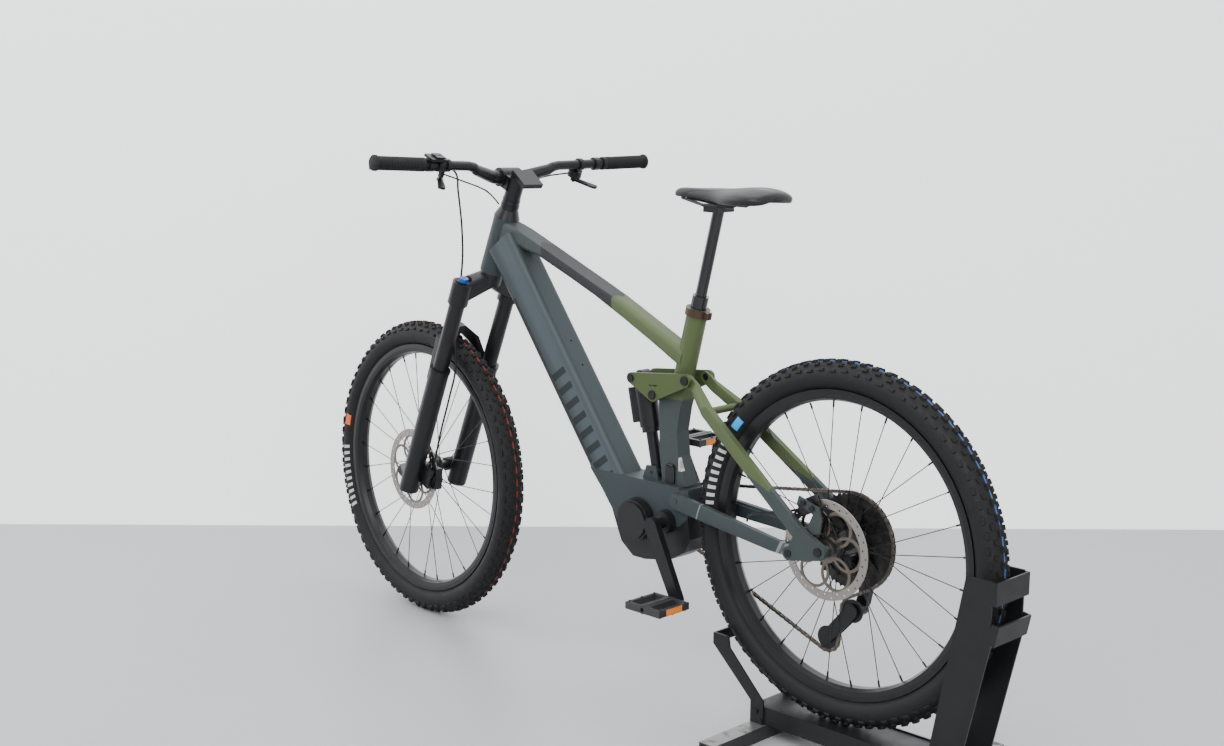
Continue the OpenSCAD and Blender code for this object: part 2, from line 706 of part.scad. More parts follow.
module rotor(y) {
    r = rotor_d / 2;
    slab([y - rotor_t / 2, y + rotor_t / 2]) difference() {
        union() {
            difference() {
                circle(r = r, $fn = 120);
                circle(r = r - 17, $fn = 120);
            }
            circle(r = 27);
            for (i = [0 : 5]) rotate(60 * i) translate([(r + 2) / 2, 0]) difference() {
                circle(r = (r - 30) / 2, $fn = 48);
                circle(r = (r - 42) / 2, $fn = 48);
            }
        }
        circle(r = rotor_hole);
        for (i = [0 : 17]) rotate(20 * i) {
            translate([r - 5.5, 0]) circle(r = 2.2, $fn = 12);
            rotate(10) translate([r - 11.5, 0]) circle(r = 2.4, $fn = 12);
        }
    }
}
module front_wheel() { steered() translate(front_c) children(); }
module rear_tyre() { color("#1d1d1f") bike() tyre(); }
module rear_rim() { color("#151517") bike() rim(); }
module rear_spokes() { color("#26272a") bike() spokes(rear_flanges); }
module rear_hub() {
    color("#18181a") bike() hub(rear_flanges, rear_hub_w / 2, 15, rear_rotor_y, freehub_r - run_gap, axle_rear_r);
    color("#9a9a98") bike() rotor(rear_rotor_y);
}
module front_tyre() { color("#1d1d1f") front_wheel() tyre(); }
module front_rim() { color("#151517") front_wheel() rim(); }
module front_spokes() { color("#26272a") front_wheel() spokes(front_flanges); }
module front_hub() {
    color("#18181a") front_wheel() hub(front_flanges, front_hub_w / 2, 14, front_rotor_y, 11, axle_front_r);
    color("#9a9a98") front_wheel() rotor(front_rotor_y);
}

// ---- Drivetrain
module cassette() {
    color("#1b1b1d") bike() difference() {
        union() {
            for (i = [0 : len(cogs) - 1]) disc(wheel_r(cogs[i]) - tip_in, [cog_y - i * cog_step - 1.1, cog_y - i * cog_step + 1.1]);
            disc(freehub_r + 2.5, [cog_y - 11 * cog_step - 1.1, cog_y + 3]);
        }
        disc(freehub_r, [-big, big]);
    }
}
module chainring() {
    color("#19191b") bike() at(bb) slab([ring_y - 1.2, ring_y + 1.2]) difference() {
        circle(r = ring_r - tip_in, $fn = 120);
        circle(r = 30);
        for (i = [0 : 4]) rotate(72 * i) translate([42, 0]) circle(r = 9);
    }
}
module cranks() {
    color("#17171a") bike() difference() {
        at(bb) {
            disc(spindle_r, [-arm_y[1], arm_y[1]]);
            disc(30, [ring_y - 1.2, ring_y + 1.2]);
            disc(20, [-arm_y[0], ring_y - 1.2]);
            for (s = [0, 1]) mirror([0, s, 0]) rotate([0, -crank_turn - 180 * s, 0])
                pill([0, 0], [crank_len, 0], 18, 14, arm_y);
        }
    }
    color("#2a2a2c") bike() at(bb) for (s = [0, 1]) mirror([0, s, 0]) rotate([0, -crank_turn - 180 * s, 0])
        translate([crank_len, 0, 0]) {
            disc(7, [arm_y[1], arm_y[1] + 7]);
            disc(5, [arm_y[1] + 7, arm_y[1] + pedal_w + 3]);
        }
}
function pedal_at(s) = [bb[0] + s * crank_len * cos(crank_turn), bb[1] + s * crank_len * sin(crank_turn)];
pedal_h = 15;
module pedal(s) {
    bike() at(pedal_at(s)) mirror([0, s < 0 ? 1 : 0, 0]) translate([0, pedal_y, 0]) difference() {
        union() {
            difference() {
                translate([-pedal_len / 2, -pedal_w / 2, -pedal_h / 2]) cube([pedal_len, pedal_w, pedal_h]);
                for (x = [-1, 1]) translate([x * pedal_len / 4 - pedal_len / 7 + x * 2, -pedal_w / 2 + 10, -pedal_h])
                    cube([2 * pedal_len / 7, pedal_w - 20, 2 * pedal_h]);
            }
            disc(9, [-pedal_w / 2, pedal_w / 2]);
            for (x = [-1, 1], y = [-1, 0, 1], z = [-1, 1])
                translate([x * (pedal_len / 2 - 5), y * (pedal_w / 2 - 8), z * (pedal_h / 2 + 1.5)]) cube([3, 3, 3], center = true);
        }
        disc(5 + run_gap, [-big, big]);
    }
}
module pedal_left() { color("#1c1c1e") pedal(1); }
module pedal_right() { color("#1c1c1e") pedal(-1); }

module jockey(p) {
    color("#19191b") bike() at(p) difference() {
        disc(jockey_r - tip_in, [cog_y - 1.2, cog_y + 1.2]);
        disc(4 + run_gap, [-big, big]);
    }
}
module jockey_upper() { jockey(jockey_a); }
module jockey_lower() { jockey(jockey_b); }
module derailleur_cage() {
    color("#141416") bike() {
        for (y = [cog_y + 6, cog_y - 8]) pill(jockey_a, jockey_b, 15, 13, [y, y + 2]);
        for (p = [jockey_a, jockey_b]) at(p) disc(4, [cog_y - 6, cog_y + 6]);
    }
}
knuckle = [-8, -36];
module derailleur() {
    color("#17171a") bike() {
        at(knuckle) disc(12, [-drop_y[1] - 15, -drop_y[1]]);
        pill(knuckle + [0, -18], jockey_a + [-2, 14], 11, 13, [-drop_y[1] - 14, -drop_y[1] - 1], [cog_y - 40, cog_y - 24]);
        at(jockey_a) disc(14, [cog_y - 34, cog_y - 8 - gap]);
    }
}

// The chain runs over the chainring and the largest sprocket, round the upper guide wheel and
// under the lower one, and back to the chainring
function arc_points(c, r, a, b, n, y) = [for (i = [0 : n]) let (t = a + (b - a) * i / n)
    [c[0] + r * cos(t), y, c[1] + r * sin(t)]];
function aim(a, b) = atan2(b[1] - a[1], b[0] - a[0]);
top_turn = aim(bb, [0, 0]) - acos((ring_r - cog_r) / norm(bb));
low_turn = aim(jockey_b, bb) - acos((jockey_r - ring_r) / norm(bb - jockey_b));
cog_turn = 360 + aim([0, 0], jockey_a) - acos((cog_r + jockey_r) / norm(jockey_a));
cage_turn = aim(jockey_a, jockey_b) + acos(2 * jockey_r / norm(jockey_b - jockey_a));
chain_path = concat(
    arc_points(bb, ring_r, low_turn, top_turn, 16, ring_y),
    arc_points([0, 0], cog_r, top_turn, cog_turn, 20, cog_y),
    arc_points(jockey_a, jockey_r, cog_turn - 180, cage_turn, 3, cog_y),
    arc_points(jockey_b, jockey_r, cage_turn + 180, low_turn + 360, 5, cog_y));
module chain() {
    color("#4a4640") bike() {
        n = len(chain_path);
        ring = 8;
        points = [for (i = [0 : n - 1]) let (t = unit(chain_path[(i + 1) % n] - chain_path[(i + n - 1) % n]),
            u = unit(cross(t, [0, 1, 0])), w = cross(t, u)) for (k = [0 : ring - 1])
            chain_path[i] + chain_r * (u * cos(360 * k / ring) + w * sin(360 * k / ring))];
        polyhedron(points, [for (i = [0 : n - 1], k = [0 : ring - 1]) let (j = (i + 1) % n, e = (k + 1) % ring)
            [i * ring + k, j * ring + k, j * ring + e, i * ring + e]], convexity = 6);
    }
}

// ---- Steering and fork
module crown() {
    color("#141417") steered() difference() {
        union() {
            translate([0, 0, -30]) cylinder(r = 28, h = 29.5);
            translate([0, 0, -1]) cylinder(r = steerer_low_r, h = 20);
            translate([0, 0, 19]) cylinder(r1 = steerer_low_r, r2 = steerer_r, h = 40);
            translate([0, 0, 59]) cylinder(r = steerer_r, h = stem_z + stem_h - 59);
            both() hull() {
                translate([0, 0, -32]) cylinder(r = 20, h = 28, $fn = hull_fn);
                translate([leg_x, leg_y, crown_low + 14]) cylinder(r = stanchion_r + 3, h = 40, $fn = hull_fn);
            }
            both() translate([leg_x, leg_y, crown_low]) cylinder(r = stanchion_r + 5.5, h = crown_top - crown_low);
        }
        both() translate([leg_x, leg_y, -big]) cylinder(r = stanchion_r, h = 2 * big);
    }
}
module stanchions() {
    color("#0f0f11") steered() both() translate([leg_x, leg_y, 0]) difference() {
        translate([0, 0, stanchion_low]) cylinder(r = stanchion_r, h = crown_top - stanchion_low);
        translate([0, 0, stanchion_low - 1]) cylinder(r = stanchion_r - 2.5, h = crown_top - stanchion_low - 20);
    }
    color("#2d5f9e") steered() both() translate([leg_x, leg_y, crown_top]) {
        cylinder(r = stanchion_r - 1, h = 3);
        cylinder(r = 11, h = 11);
    }
}
arch_x = 60;
module fork_lowers() {
    color("#131316") steered() difference() {
        union() {
            both() {
                translate([leg_x, leg_y, leg_low]) cylinder(r = lower_r, h = seal_z - leg_low);
                translate([leg_x, leg_y, seal_z - 8]) cylinder(r = lower_r + 1.5, h = 8);
                hull() {
                    translate([leg_x, leg_y + 2, -fork_len + 26]) cylinder(r = 20, h = 12, $fn = hull_fn);
                    translate(front_c) disc(17, [dropout_y + gap, dropout_y + 22], $fn = hull_fn);
                }
                hull() {
                    translate([leg_x + 4, leg_y - 10, seal_z - 44]) cube([30, 16, 34]);
                    translate([arch_x - 10, 46, -236]) cube([20, 12, 24]);
                }
                hull() {
                    translate([arch_x - 10, 46, -236]) cube([20, 12, 24]);
                    translate([arch_x - 10, -1, -196]) cube([20, 10, 18]);
                }
            }
            translate([leg_x - lower_r - 32, front_rotor_y + 12 + gap, -fork_len + 2]) cube([44, 8, 52]);
        }
        both() translate([leg_x, leg_y, leg_low + 14]) cylinder(r = stanchion_r + run_gap, h = big);
        translate(front_c) disc(axle_front_r, [-big, big]);
        both() translate(front_c) disc(rotor_d / 2 + 6, [0, dropout_y + gap - 6]);
    }
    color("#1a1a1c") steered() translate(front_c) {
        disc(axle_front_r, [-dropout_y - 22, dropout_y + 22]);
        disc(12, [dropout_y + 22, dropout_y + 27]);
        disc(10, [-dropout_y - 26, -dropout_y - 22]);
    }
}
module front_caliper() {
    color("#17171a") steered() translate(front_c) rotate([0, -72, 0]) translate([0, 0, 92]) calliper(front_rotor_y);
}
module stem() {
    color("#151517") steered() {
        translate([0, 0, head_len + gap]) difference() {
            cylinder(r1 = head_r + 1, r2 = 22, h = cap_h);
            translate([0, 0, -1]) cylinder(r = steerer_r, h = 99);
        }
        for (i = [0 : 2]) translate([0, 0, head_len + gap + cap_h + i * spacer_h / 3]) difference() {
            cylinder(r = 22 - i, h = spacer_h / 3);
            translate([0, 0, -1]) cylinder(r = steerer_r, h = 99);
        }
        difference() {
            union() {
                translate([0, 0, stem_z]) cylinder(r = 20, h = stem_h);
                translate([0, -24, stem_z + 8]) cube([bar_c[0], 48, 34]);
                translate(bar_c) disc(22, [-28, 28]);
            }
            translate([0, 0, stem_z - 1]) cylinder(r = steerer_r, h = 99);
            translate(bar_c) disc(bar_clamp_r, [-big, big]);
            translate(bar_c - [-1, 40, 40]) cube([0.6, 80, 80]);
        }
        translate([0, 0, stem_z + stem_h]) cylinder(r = 17, h = 4);
    }
}
// Half of the handlebar from its middle to its tip: [point, radius]
bar_half_run = [[bar_c, bar_clamp_r], [bar_c + [0, 42, 0], bar_clamp_r], [bar_c + [0, 50, 2], bar_clamp_r - 0.8],
    [bar_bend - [-1, 18, 10], bar_r + 1.6], [bar_bend - [0, 8, 3], bar_r + 0.6], [bar_bend + 6 * unit(bar_tip - bar_bend), bar_r], [bar_tip, bar_r]];
function mirrored(p) = [p[0], -p[1], p[2]];
bar_line = concat([for (i = [len(bar_half_run) - 1 : -1 : 1]) [mirrored(bar_half_run[i][0]), bar_half_run[i][1]]], bar_half_run);
module handlebar() {
    line = [for (q = bar_line) q[0]];
    color("#1a1a1c") steered() loft([for (i = [0 : len(line) - 1]) let (t = heading(line, i), u = unit(cross(t, [0, 0, 1])),
        w = cross(t, u)) [for (k = [0 : 31]) line[i] + bar_line[i][1] * (u * cos(360 * k / 32) + w * sin(360 * k / 32))]]);
}
module grips() {
    color("#2b2b2c") for (s = [-1, 1]) barred(s) difference() {
        union() {
            disc(grip_r, [grip_y, bar_run + 3]);
            disc(grip_r + 2, [bar_run - 6, bar_run + 3]);
        }
        disc(bar_r, [0, bar_run]);
    }
}
lever_pivot = [44, 108];
lever_drop = 32;
module clamp_ring(y, r) {
    difference() {
        disc(r, y);
        disc(bar_r, [-big, big]);
    }
}
module brake_body(s) {
    barred(s) rotate([0, lever_drop, 0]) {
        difference() {
            union() {
                disc(bar_r + 4.5, [112, 126]);
                translate([bar_r + 1, 112, -6]) cube([8, 14, 12]);
                translate([bar_r + 16, 0, 0]) disc(8, [48, 126]);
            }
            disc(bar_r, [-big, big]);
        }
        for (z = [4 + gap, -8 - gap]) translate([22, 98, z]) cube([30, 20, 4]);
        translate([lever_pivot[0], lever_pivot[1], -8 - gap]) cylinder(r = 2.5, h = 16 + 2 * gap);
    }
}
module controls() {
    color("#18181a") {
        brake_body(1);
        brake_body(-1);
        barred(1) {
            clamp_ring([90, 100], bar_r + 4);
            translate([-20, 84, bar_r + 4]) cube([34, 46, 6]);
            clamp_ring([66, 76], bar_r + 4);
            translate([4, 66, -bar_r - 22]) cube([9, 10, 20]);
            translate([8, 71, -bar_r - 34]) cylinder(r = 4, h = 18);
        }
        barred(-1) {
            clamp_ring([66, 76], bar_r + 4);
            translate([10, 72, -bar_r - 24]) cylinder(r = 17, h = 16);
            translate([4, 66, -bar_r - 10]) cube([9, 10, 8]);
            translate([10, 72, -bar_r - 38]) cylinder(r = 4, h = 18);
        }
        steered() translate([-12, 0, stem_z + stem_h + 10]) rotate([0, -14, 0]) {
            translate([-48, -28, 0]) cube([54, 56, 12]);
        }
        steered() translate([-16, -8, stem_z + stem_h + 4]) cube([12, 16, 8]);
    }
}
module brake_lever(s) {
    color("#1c1c1e") barred(s) rotate([0, lever_drop, 0]) difference() {
        union() {
            translate([lever_pivot[0], lever_pivot[1], -4]) cylinder(r = 7, h = 8);
            hull() {
                translate([lever_pivot[0] + 2, lever_pivot[1], -4]) cylinder(r = 6, h = 8, $fn = hull_fn);
                translate([60, 150, -4]) cylinder(r = 5.5, h = 8, $fn = hull_fn);
            }
            hull() {
                translate([60, 150, -4]) cylinder(r = 5.5, h = 8, $fn = hull_fn);
                translate([66, 226, -4]) cylinder(r = 5, h = 8, $fn = hull_fn);
            }
            translate([68, 226, -4]) cylinder(r = 7, h = 8);
        }
        translate([lever_pivot[0], lever_pivot[1], -5]) cylinder(r = 2.5 + run_gap, h = 10);
    }
}
module brake_lever_left() { brake_lever(1); }
module brake_lever_right() { brake_lever(-1); }
module thumb_paddle(c, reach) {
    translate([c[0], c[1], c[2]]) difference() {
        union() {
            cylinder(r = 8, h = 5);
            hull() {
                cylinder(r = 6, h = 5, $fn = hull_fn);
                translate([-reach, reach * 0.6, 0]) cylinder(r = 9, h = 5, $fn = hull_fn);
            }
        }
        translate([0, 0, -1]) cylinder(r = 4 + run_gap, h = 9);
    }
}
module post_lever() { color("#1c1c1e") barred(1) thumb_paddle([8, 71, -bar_r - 30], 42); }
module shift_paddle() { color("#1c1c1e") barred(-1) thumb_paddle([10, 72, -bar_r - 34], 46); }
module remote_button() {
    color("#2a2a2d") barred(1) for (x = [-16, -2]) translate([x, 92, bar_r + 10 + 3 * gap]) cube([11, 24, 3]);
}

// ---- Hoses and cables, each through hand-placed points
function fork_point(x, y, z) = let (h = 90 - head_angle, a = x * cos(steer) - y * sin(steer),
    b = x * sin(steer) + y * cos(steer)) [head[0] + a * cos(h) - z * sin(h), b, head[1] + a * sin(h) + z * cos(h)];
function fork_points(p) = [for (q = p) fork_point(q[0], q[1], q[2])];
module hose_front() {
    color("#101012") bike() cord(fork_points([[43.4, 173.5, 249.4], [52, 140, 232], [70, 104, 176], [64, 66, 70],
        [56, 46, -20], [44, 44, -110], [20, 43, -190], [-14, 44, -260], [-26, 50, -330], [-31, 52, -430],
        [-35.2, 48, -528.2]]), 2.5);
}
module hose_rear() {
    color("#101012") bike() cord([[63.6, 62, 71.2], [80, 62, 66], [100, 62, 60], [130, 61, 52], [166, 60, 44],
        [196, 58, 34], [205, 55, 18]], 2.5, 3);
}
module cables() {
    color("#101012") bike() {
        cord(fork_points([[43.4, -173.5, 249.4], [58, -120, 222], [48, -60, 194], [34, -24, 175], [24, -10, 168]]), 2.5);
        cord(fork_points([[30, -179.8, 238], [54, -120, 216], [50, -50, 186], [30, -12, 160]]), 2, 3);
        cord(fork_points([[28, 190.8, 239], [44, 120, 214], [50, 40, 186], [30, 8, 160]]), 2, 3);
    }
}

stand_rails();
stand_frame();
head_tube();
down_tube();
top_tube();
seat_tube();
motor_shell();
motor();
motor_covers();
seat_clamp();
post_outer();
port_flap();
battery();
battery_cover();
post_inner();
saddle_rails();
saddle();
rocker_link();
rocker_bolts();
shock_can();
shock_shaft();
chainstays();
seatstays();
rear_axle();
rear_caliper();
rear_tyre();
rear_rim();
rear_spokes();
rear_hub();
cassette();
chain();
derailleur();
derailleur_cage();
jockey_upper();
jockey_lower();
cranks();
chainring();
pedal_left();
pedal_right();
crown();
stanchions();
stem();
handlebar();
grips();
controls();
fork_lowers();
front_caliper();
front_tyre();
front_rim();
front_spokes();
front_hub();
brake_lever_left();
brake_lever_right();
post_lever();
shift_paddle();
remote_button();
hose_front();
hose_rear();
cables();
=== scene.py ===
import json
import math

import bpy
from mathutils import Matrix, Vector


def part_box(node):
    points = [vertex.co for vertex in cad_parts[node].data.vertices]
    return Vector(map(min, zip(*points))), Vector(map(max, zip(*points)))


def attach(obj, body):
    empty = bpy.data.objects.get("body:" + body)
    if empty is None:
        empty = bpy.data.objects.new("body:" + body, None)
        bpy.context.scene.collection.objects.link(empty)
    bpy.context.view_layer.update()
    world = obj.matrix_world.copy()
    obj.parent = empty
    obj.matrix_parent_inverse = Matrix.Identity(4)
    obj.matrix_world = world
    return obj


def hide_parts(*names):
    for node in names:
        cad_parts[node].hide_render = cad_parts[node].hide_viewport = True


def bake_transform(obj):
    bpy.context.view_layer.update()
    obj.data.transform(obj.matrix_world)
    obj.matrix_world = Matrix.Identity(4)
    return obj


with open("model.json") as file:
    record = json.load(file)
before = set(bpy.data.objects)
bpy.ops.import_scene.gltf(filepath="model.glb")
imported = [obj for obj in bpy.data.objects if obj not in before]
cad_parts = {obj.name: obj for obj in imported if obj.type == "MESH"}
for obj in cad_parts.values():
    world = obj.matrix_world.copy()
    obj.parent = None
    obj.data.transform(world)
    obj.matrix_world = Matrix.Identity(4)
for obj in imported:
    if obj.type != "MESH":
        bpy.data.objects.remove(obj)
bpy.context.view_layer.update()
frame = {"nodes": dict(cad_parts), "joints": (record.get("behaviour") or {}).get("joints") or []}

# ---- The room. A pale studio with a smooth concrete floor and one white wall, lit by large
# soft lamps. The camera has a lens of about 50 mm and stands behind the bicycle's left side;
# the wall is clear from behind, so that it hides nothing from the other sides.


class Wire:
    """A number or colour inside a material; arithmetic on it adds the nodes that work it out."""

    def __init__(self, finish, socket):
        self.finish, self.socket = finish, socket

    def maths(self, operation, other=0.0, turned=False):
        first, second = (other, self) if turned else (self, other)
        return self.finish.node("ShaderNodeMath", {"operation": operation}, i0=first, i1=second)

    def __add__(self, other):
        return self.maths("ADD", other)

    def __sub__(self, other):
        return self.maths("SUBTRACT", other)

    def __rsub__(self, other):
        return self.maths("SUBTRACT", other, turned=True)

    def __mul__(self, other):
        return self.maths("MULTIPLY", other)

    def __truediv__(self, other):
        return self.maths("DIVIDE", other)

    def __rtruediv__(self, other):
        return self.maths("DIVIDE", other, turned=True)

    def __lt__(self, other):
        return self.maths("LESS_THAN", other)

    def __gt__(self, other):
        return self.maths("GREATER_THAN", other)

    def __abs__(self):
        return self.maths("ABSOLUTE")

    __radd__ = __add__
    __rmul__ = __mul__


class Finish:
    """One material: its principled shader, and a short way to add and join any other node."""

    def __init__(self, name, colour, rough, metal=0.0, coat=0.0, specular=0.5):
        self.material = bpy.data.materials.new(name)
        self.material.use_nodes = True
        self.material.diffuse_color = (*colour, 1)
        self.tree = self.material.node_tree
        self.shader = self.tree.nodes["Principled BSDF"]
        self.fill(self.shader, {"Base Color": colour, "Roughness": rough, "Metallic": metal,
                                "Coat Weight": coat, "Coat Roughness": 0.08, "Specular IOR Level": specular})

    def fill(self, made, values):
        """Sets or links a node's sockets, each given by its label, or by i and its number."""
        for key, value in values.items():
            numbered = key[0] == "i" and key[1:].isdigit()
            slot = made.inputs[int(key[1:]) if numbered else key.replace("_", " ")]
            if isinstance(value, Wire):
                self.tree.links.new(value.socket, slot)
            elif isinstance(value, tuple) and slot.type == "RGBA":
                slot.default_value = (*value, 1)
            else:
                slot.default_value = value

    def node(self, kind, settings=None, outlet=0, **values):
        made = self.tree.nodes.new(kind)
        for key, value in (settings or {}).items():
            setattr(made, key, value)
        self.fill(made, values)
        if isinstance(outlet, int):
            return Wire(self, made.outputs[outlet])
        return [Wire(self, made.outputs[i]) for i in outlet]

    def spot(self, offset=(0, 0, 0), turn=(0, 0, 0)):
        """Object coordinates, measured from another origin along turned axes."""
        raw = self.node("ShaderNodeTexCoord", outlet=3)
        return self.node("ShaderNodeMapping", {"vector_type": "TEXTURE"}, Vector=raw, Location=offset,
                         Rotation=turn)

    def place(self, offset=(0, 0, 0), turn=(0, 0, 0)):
        """The same as three numbers."""
        return self.node("ShaderNodeSeparateXYZ", outlet=(0, 1, 2), Vector=self.spot(offset, turn))

    def noise(self, scale, detail=3.0):
        where = self.node("ShaderNodeTexCoord", outlet=3)
        return self.node("ShaderNodeTexNoise", Vector=where, Scale=scale, Detail=detail)

    def blend(self, share, first, second):
        return self.node("ShaderNodeMix", {"data_type": "RGBA"}, 2, i0=share, i6=first, i7=second)

    def ramp(self, value, low, high):
        return self.node("ShaderNodeMapRange", Value=value, From_Min=low, From_Max=high)

    def feed(self, **values):
        self.fill(self.shader, values)

    def bump(self, height, strength=0.2, distance=0.0006):
        self.feed(Normal=self.node("ShaderNodeBump", Height=height, Strength=strength, Distance=distance))


def clad(piece, made):
    """Gives a piece its finish."""
    piece.data.materials.clear()
    piece.data.materials.append(made.material)


def named(name):
    """Names the piece that an operator has just made, and its mesh."""
    made = bpy.context.object
    made.name = made.data.name = name
    return made


lens = bpy.data.cameras.new("camera")
lens.lens, lens.sensor_width = 49.25, 36
lens.shift_x, lens.shift_y = 0.0046, 0.0044
lens.clip_end = 100
camera = bpy.data.objects.new("camera", lens)
bpy.context.scene.collection.objects.link(camera)
yaw, dip, roll = math.radians(-45.12), math.radians(10.31), math.radians(0.304)
ahead = Vector((math.cos(dip) * math.cos(yaw), math.cos(dip) * math.sin(yaw), -math.sin(dip)))
view = ahead.to_track_quat("-Z", "Y").to_matrix() @ Matrix.Rotation(roll, 3, "Z")
camera.rotation_euler = view.to_euler()
camera.location = (-2.1013, 2.616, 1.3569)
bpy.context.scene.camera = camera

room_size, wall_out = 60, 1.13
bpy.ops.object.select_all(action="DESELECT")
bpy.ops.mesh.primitive_plane_add(size=room_size, location=(0, 0, 0))
floor = named("floor")
concrete = Finish("floor_concrete", (0.5, 0.5, 0.505), 0.42)
cloud, speck = concrete.noise(1.3, 6), concrete.noise(60, 4)
mottle = concrete.blend(cloud * 0.8 + speck * 0.2, (0.33, 0.335, 0.345), (0.45, 0.45, 0.46))
concrete.feed(Base_Color=mottle, Roughness=cloud * 0.25 + 0.3)
clad(floor, concrete)

bpy.ops.object.select_all(action="DESELECT")
bpy.ops.mesh.primitive_plane_add(size=room_size, location=(wall_out, -wall_out, room_size / 4),
                                 rotation=(math.radians(-90), 0, math.radians(45)))
wall = named("wall")
chalk = Finish("wall_white", (0.86, 0.87, 0.88), 0.9)
chalk.feed(Base_Color=chalk.blend(chalk.noise(0.6), (0.93, 0.935, 0.94), (0.97, 0.975, 0.98)),
           Emission_Color=(0.97, 0.985, 1), Emission_Strength=0.6)
behind = chalk.node("ShaderNodeNewGeometry", outlet=6)
clear = chalk.node("ShaderNodeBsdfTransparent")
seen = chalk.node("ShaderNodeMixShader", i0=behind, i1=Wire(chalk, chalk.shader.outputs[0]), i2=clear)
chalk.fill(chalk.tree.nodes["Material Output"], {"Surface": seen})
clad(wall, chalk)

world = bpy.data.worlds.new("room")
bpy.context.scene.world = world
world.use_nodes = True
sky = world.node_tree.nodes["Background"]
sky.inputs["Color"].default_value = (0.96, 0.98, 1, 1)
sky.inputs["Strength"].default_value = 1.15
aimed_at = Vector((0.4, 0, 0.5))
for name, at, size, power in (("key", (-1.6, 3.2, 3.6), 3.2, 190), ("fill", (3.2, 2.4, 2.8), 3, 80),
                              ("back", (0.9, -0.7, 3.6), 2.6, 60), ("low", (-3.4, 0.6, 1.4), 2.4, 34)):
    lamp = bpy.data.lights.new(name, "AREA")
    lamp.size, lamp.energy = size, power
    shone = bpy.data.objects.new(name, lamp)
    bpy.context.scene.collection.objects.link(shone)
    shone.location = at
    shone.rotation_euler = (aimed_at - Vector(at)).to_track_quat("-Z", "Y").to_euler()

# ---- The floor stand. Welded box section and flat bar, powder coated black, with the
# coating scuffed to bare grey steel along the tops of the rails.
nodes = frame["nodes"]


def paint(made, *names):
    """Gives its finish to each piece that keeps its own shape."""
    for name in names:
        clad(nodes[name], made)


powder = Finish("stand_steel", (0.008, 0.008, 0.009), 0.42, specular=0.3)
grain, cloud = powder.noise(420), powder.noise(24, 5)
powder.feed(Base_Color=powder.blend(cloud, (0.005, 0.005, 0.006), (0.011, 0.011, 0.012)),
            Roughness=cloud * 0.25 + 0.32)
powder.bump(grain, 0.1, 0.0004)
paint(powder, "stand_frame")

rail = Finish("rail_worn", (0.02, 0.02, 0.022), 0.45)
cloud, scratch = rail.noise(28, 6), rail.noise(260, 2)
facing = rail.node("ShaderNodeNewGeometry", outlet=1)
upward = rail.node("ShaderNodeSeparateXYZ", outlet=2, Vector=facing) > 0.7
worn = upward * rail.ramp(cloud + scratch * 0.25, 0.42, 0.6)
rail.feed(Base_Color=rail.blend(worn, (0.016, 0.016, 0.018), (0.22, 0.215, 0.21)),
          Metallic=worn * 0.7, Roughness=0.5 - worn * 0.16)
rail.bump(scratch, 0.12, 0.0004)
paint(rail, "stand_rails")

# ---- The main frame. Hydroformed aluminium tubes, welded and painted in three colours:
# a petrol green metallic, an anthracite on the top tube and an olive green at the seat.
petrol = (0.034, 0.0435, 0.047)
olive = (0.07, 0.096, 0.036)
anthracite = (0.013, 0.014, 0.017)
smooth_below = math.radians(32)


def tinted(colour, by):
    return tuple(c * by for c in colour)


def lacquer(name, colour):
    """Satin lacquer with a little metal flake, and the fine noise of its flakes."""
    made = Finish(name, colour, 0.48, 0.3, specular=0.22)
    made.feed(Roughness=made.noise(5, 4) * 0.1 + 0.43)
    return made, made.noise(2600, 1)


def alone(*pieces):
    """Selects these pieces and nothing else."""
    bpy.ops.object.select_all(action="DESELECT")
    for piece in pieces:
        piece.select_set(True)
    bpy.context.view_layer.objects.active = pieces[0]


def smoothed(*names):
    alone(*[nodes[name] for name in names])
    bpy.ops.object.shade_smooth_by_angle(angle=smooth_below)


cast, flake = lacquer("frame_petrol", petrol)
mottle = flake * 0.5 + cast.noise(5, 4) * 0.5
cast.feed(Base_Color=cast.blend(mottle, tinted(petrol, 0.75), tinted(petrol, 1.4)))
cast.bump(flake, 0.015, 0.0002)
paint(cast, "head_tube", "motor_shell")

# The down tube has a painted highlight, a lighter bluish band along the facet on its flank,
# and a row of dark bars printed along the middle of it.
down_middle, down_lean = (0.5915, 0, 0.648), math.radians(36.5)
bar_pitch = 0.038
made, flake = lacquer("down_tube_petrol", petrol)
sx, sy, sz = made.place(down_middle, (0, down_lean, 0))
# Painted highlight: a lighter bluish band along the flank's facet, mixed into the petrol paint below.
painted_facet_highlight = made.ramp(abs(sx + 0.012), 0.03, 0.012)
mark = made.ramp(abs(sx - 0.002), 0.0245, 0.0235) * made.ramp(abs(sz + 0.085), 0.15, 0.149)
bars = made.ramp(abs((sz + 0.2).maths("PINGPONG", bar_pitch) - bar_pitch / 2), 0.0085, 0.0075)
base = made.blend(flake * 0.3, made.blend(painted_facet_highlight * 0.8, petrol, (0.062, 0.08, 0.088)), (0.085, 0.11, 0.12))
made.feed(Base_Color=made.blend(mark * bars * 0.75, base, (0.008, 0.009, 0.01)))
made.bump(flake, 0.015, 0.0002)
paint(made, "down_tube")

# The top tube's three colours meet at slanted edges, each a vee seen from above.
made, flake = lacquer("top_tube_colours", anthracite)
sx, sy, sz = made.place()
front = sx + abs(sy) * 0.9 > 0.715
back = sx - abs(sy) * 0.6 < 0.452
base = made.blend(front, made.blend(back, anthracite, olive), petrol)
made.feed(Base_Color=made.blend(flake * 0.16, base, (0.2, 0.21, 0.19)))
made.bump(flake, 0.015, 0.0002)
paint(made, "top_tube")

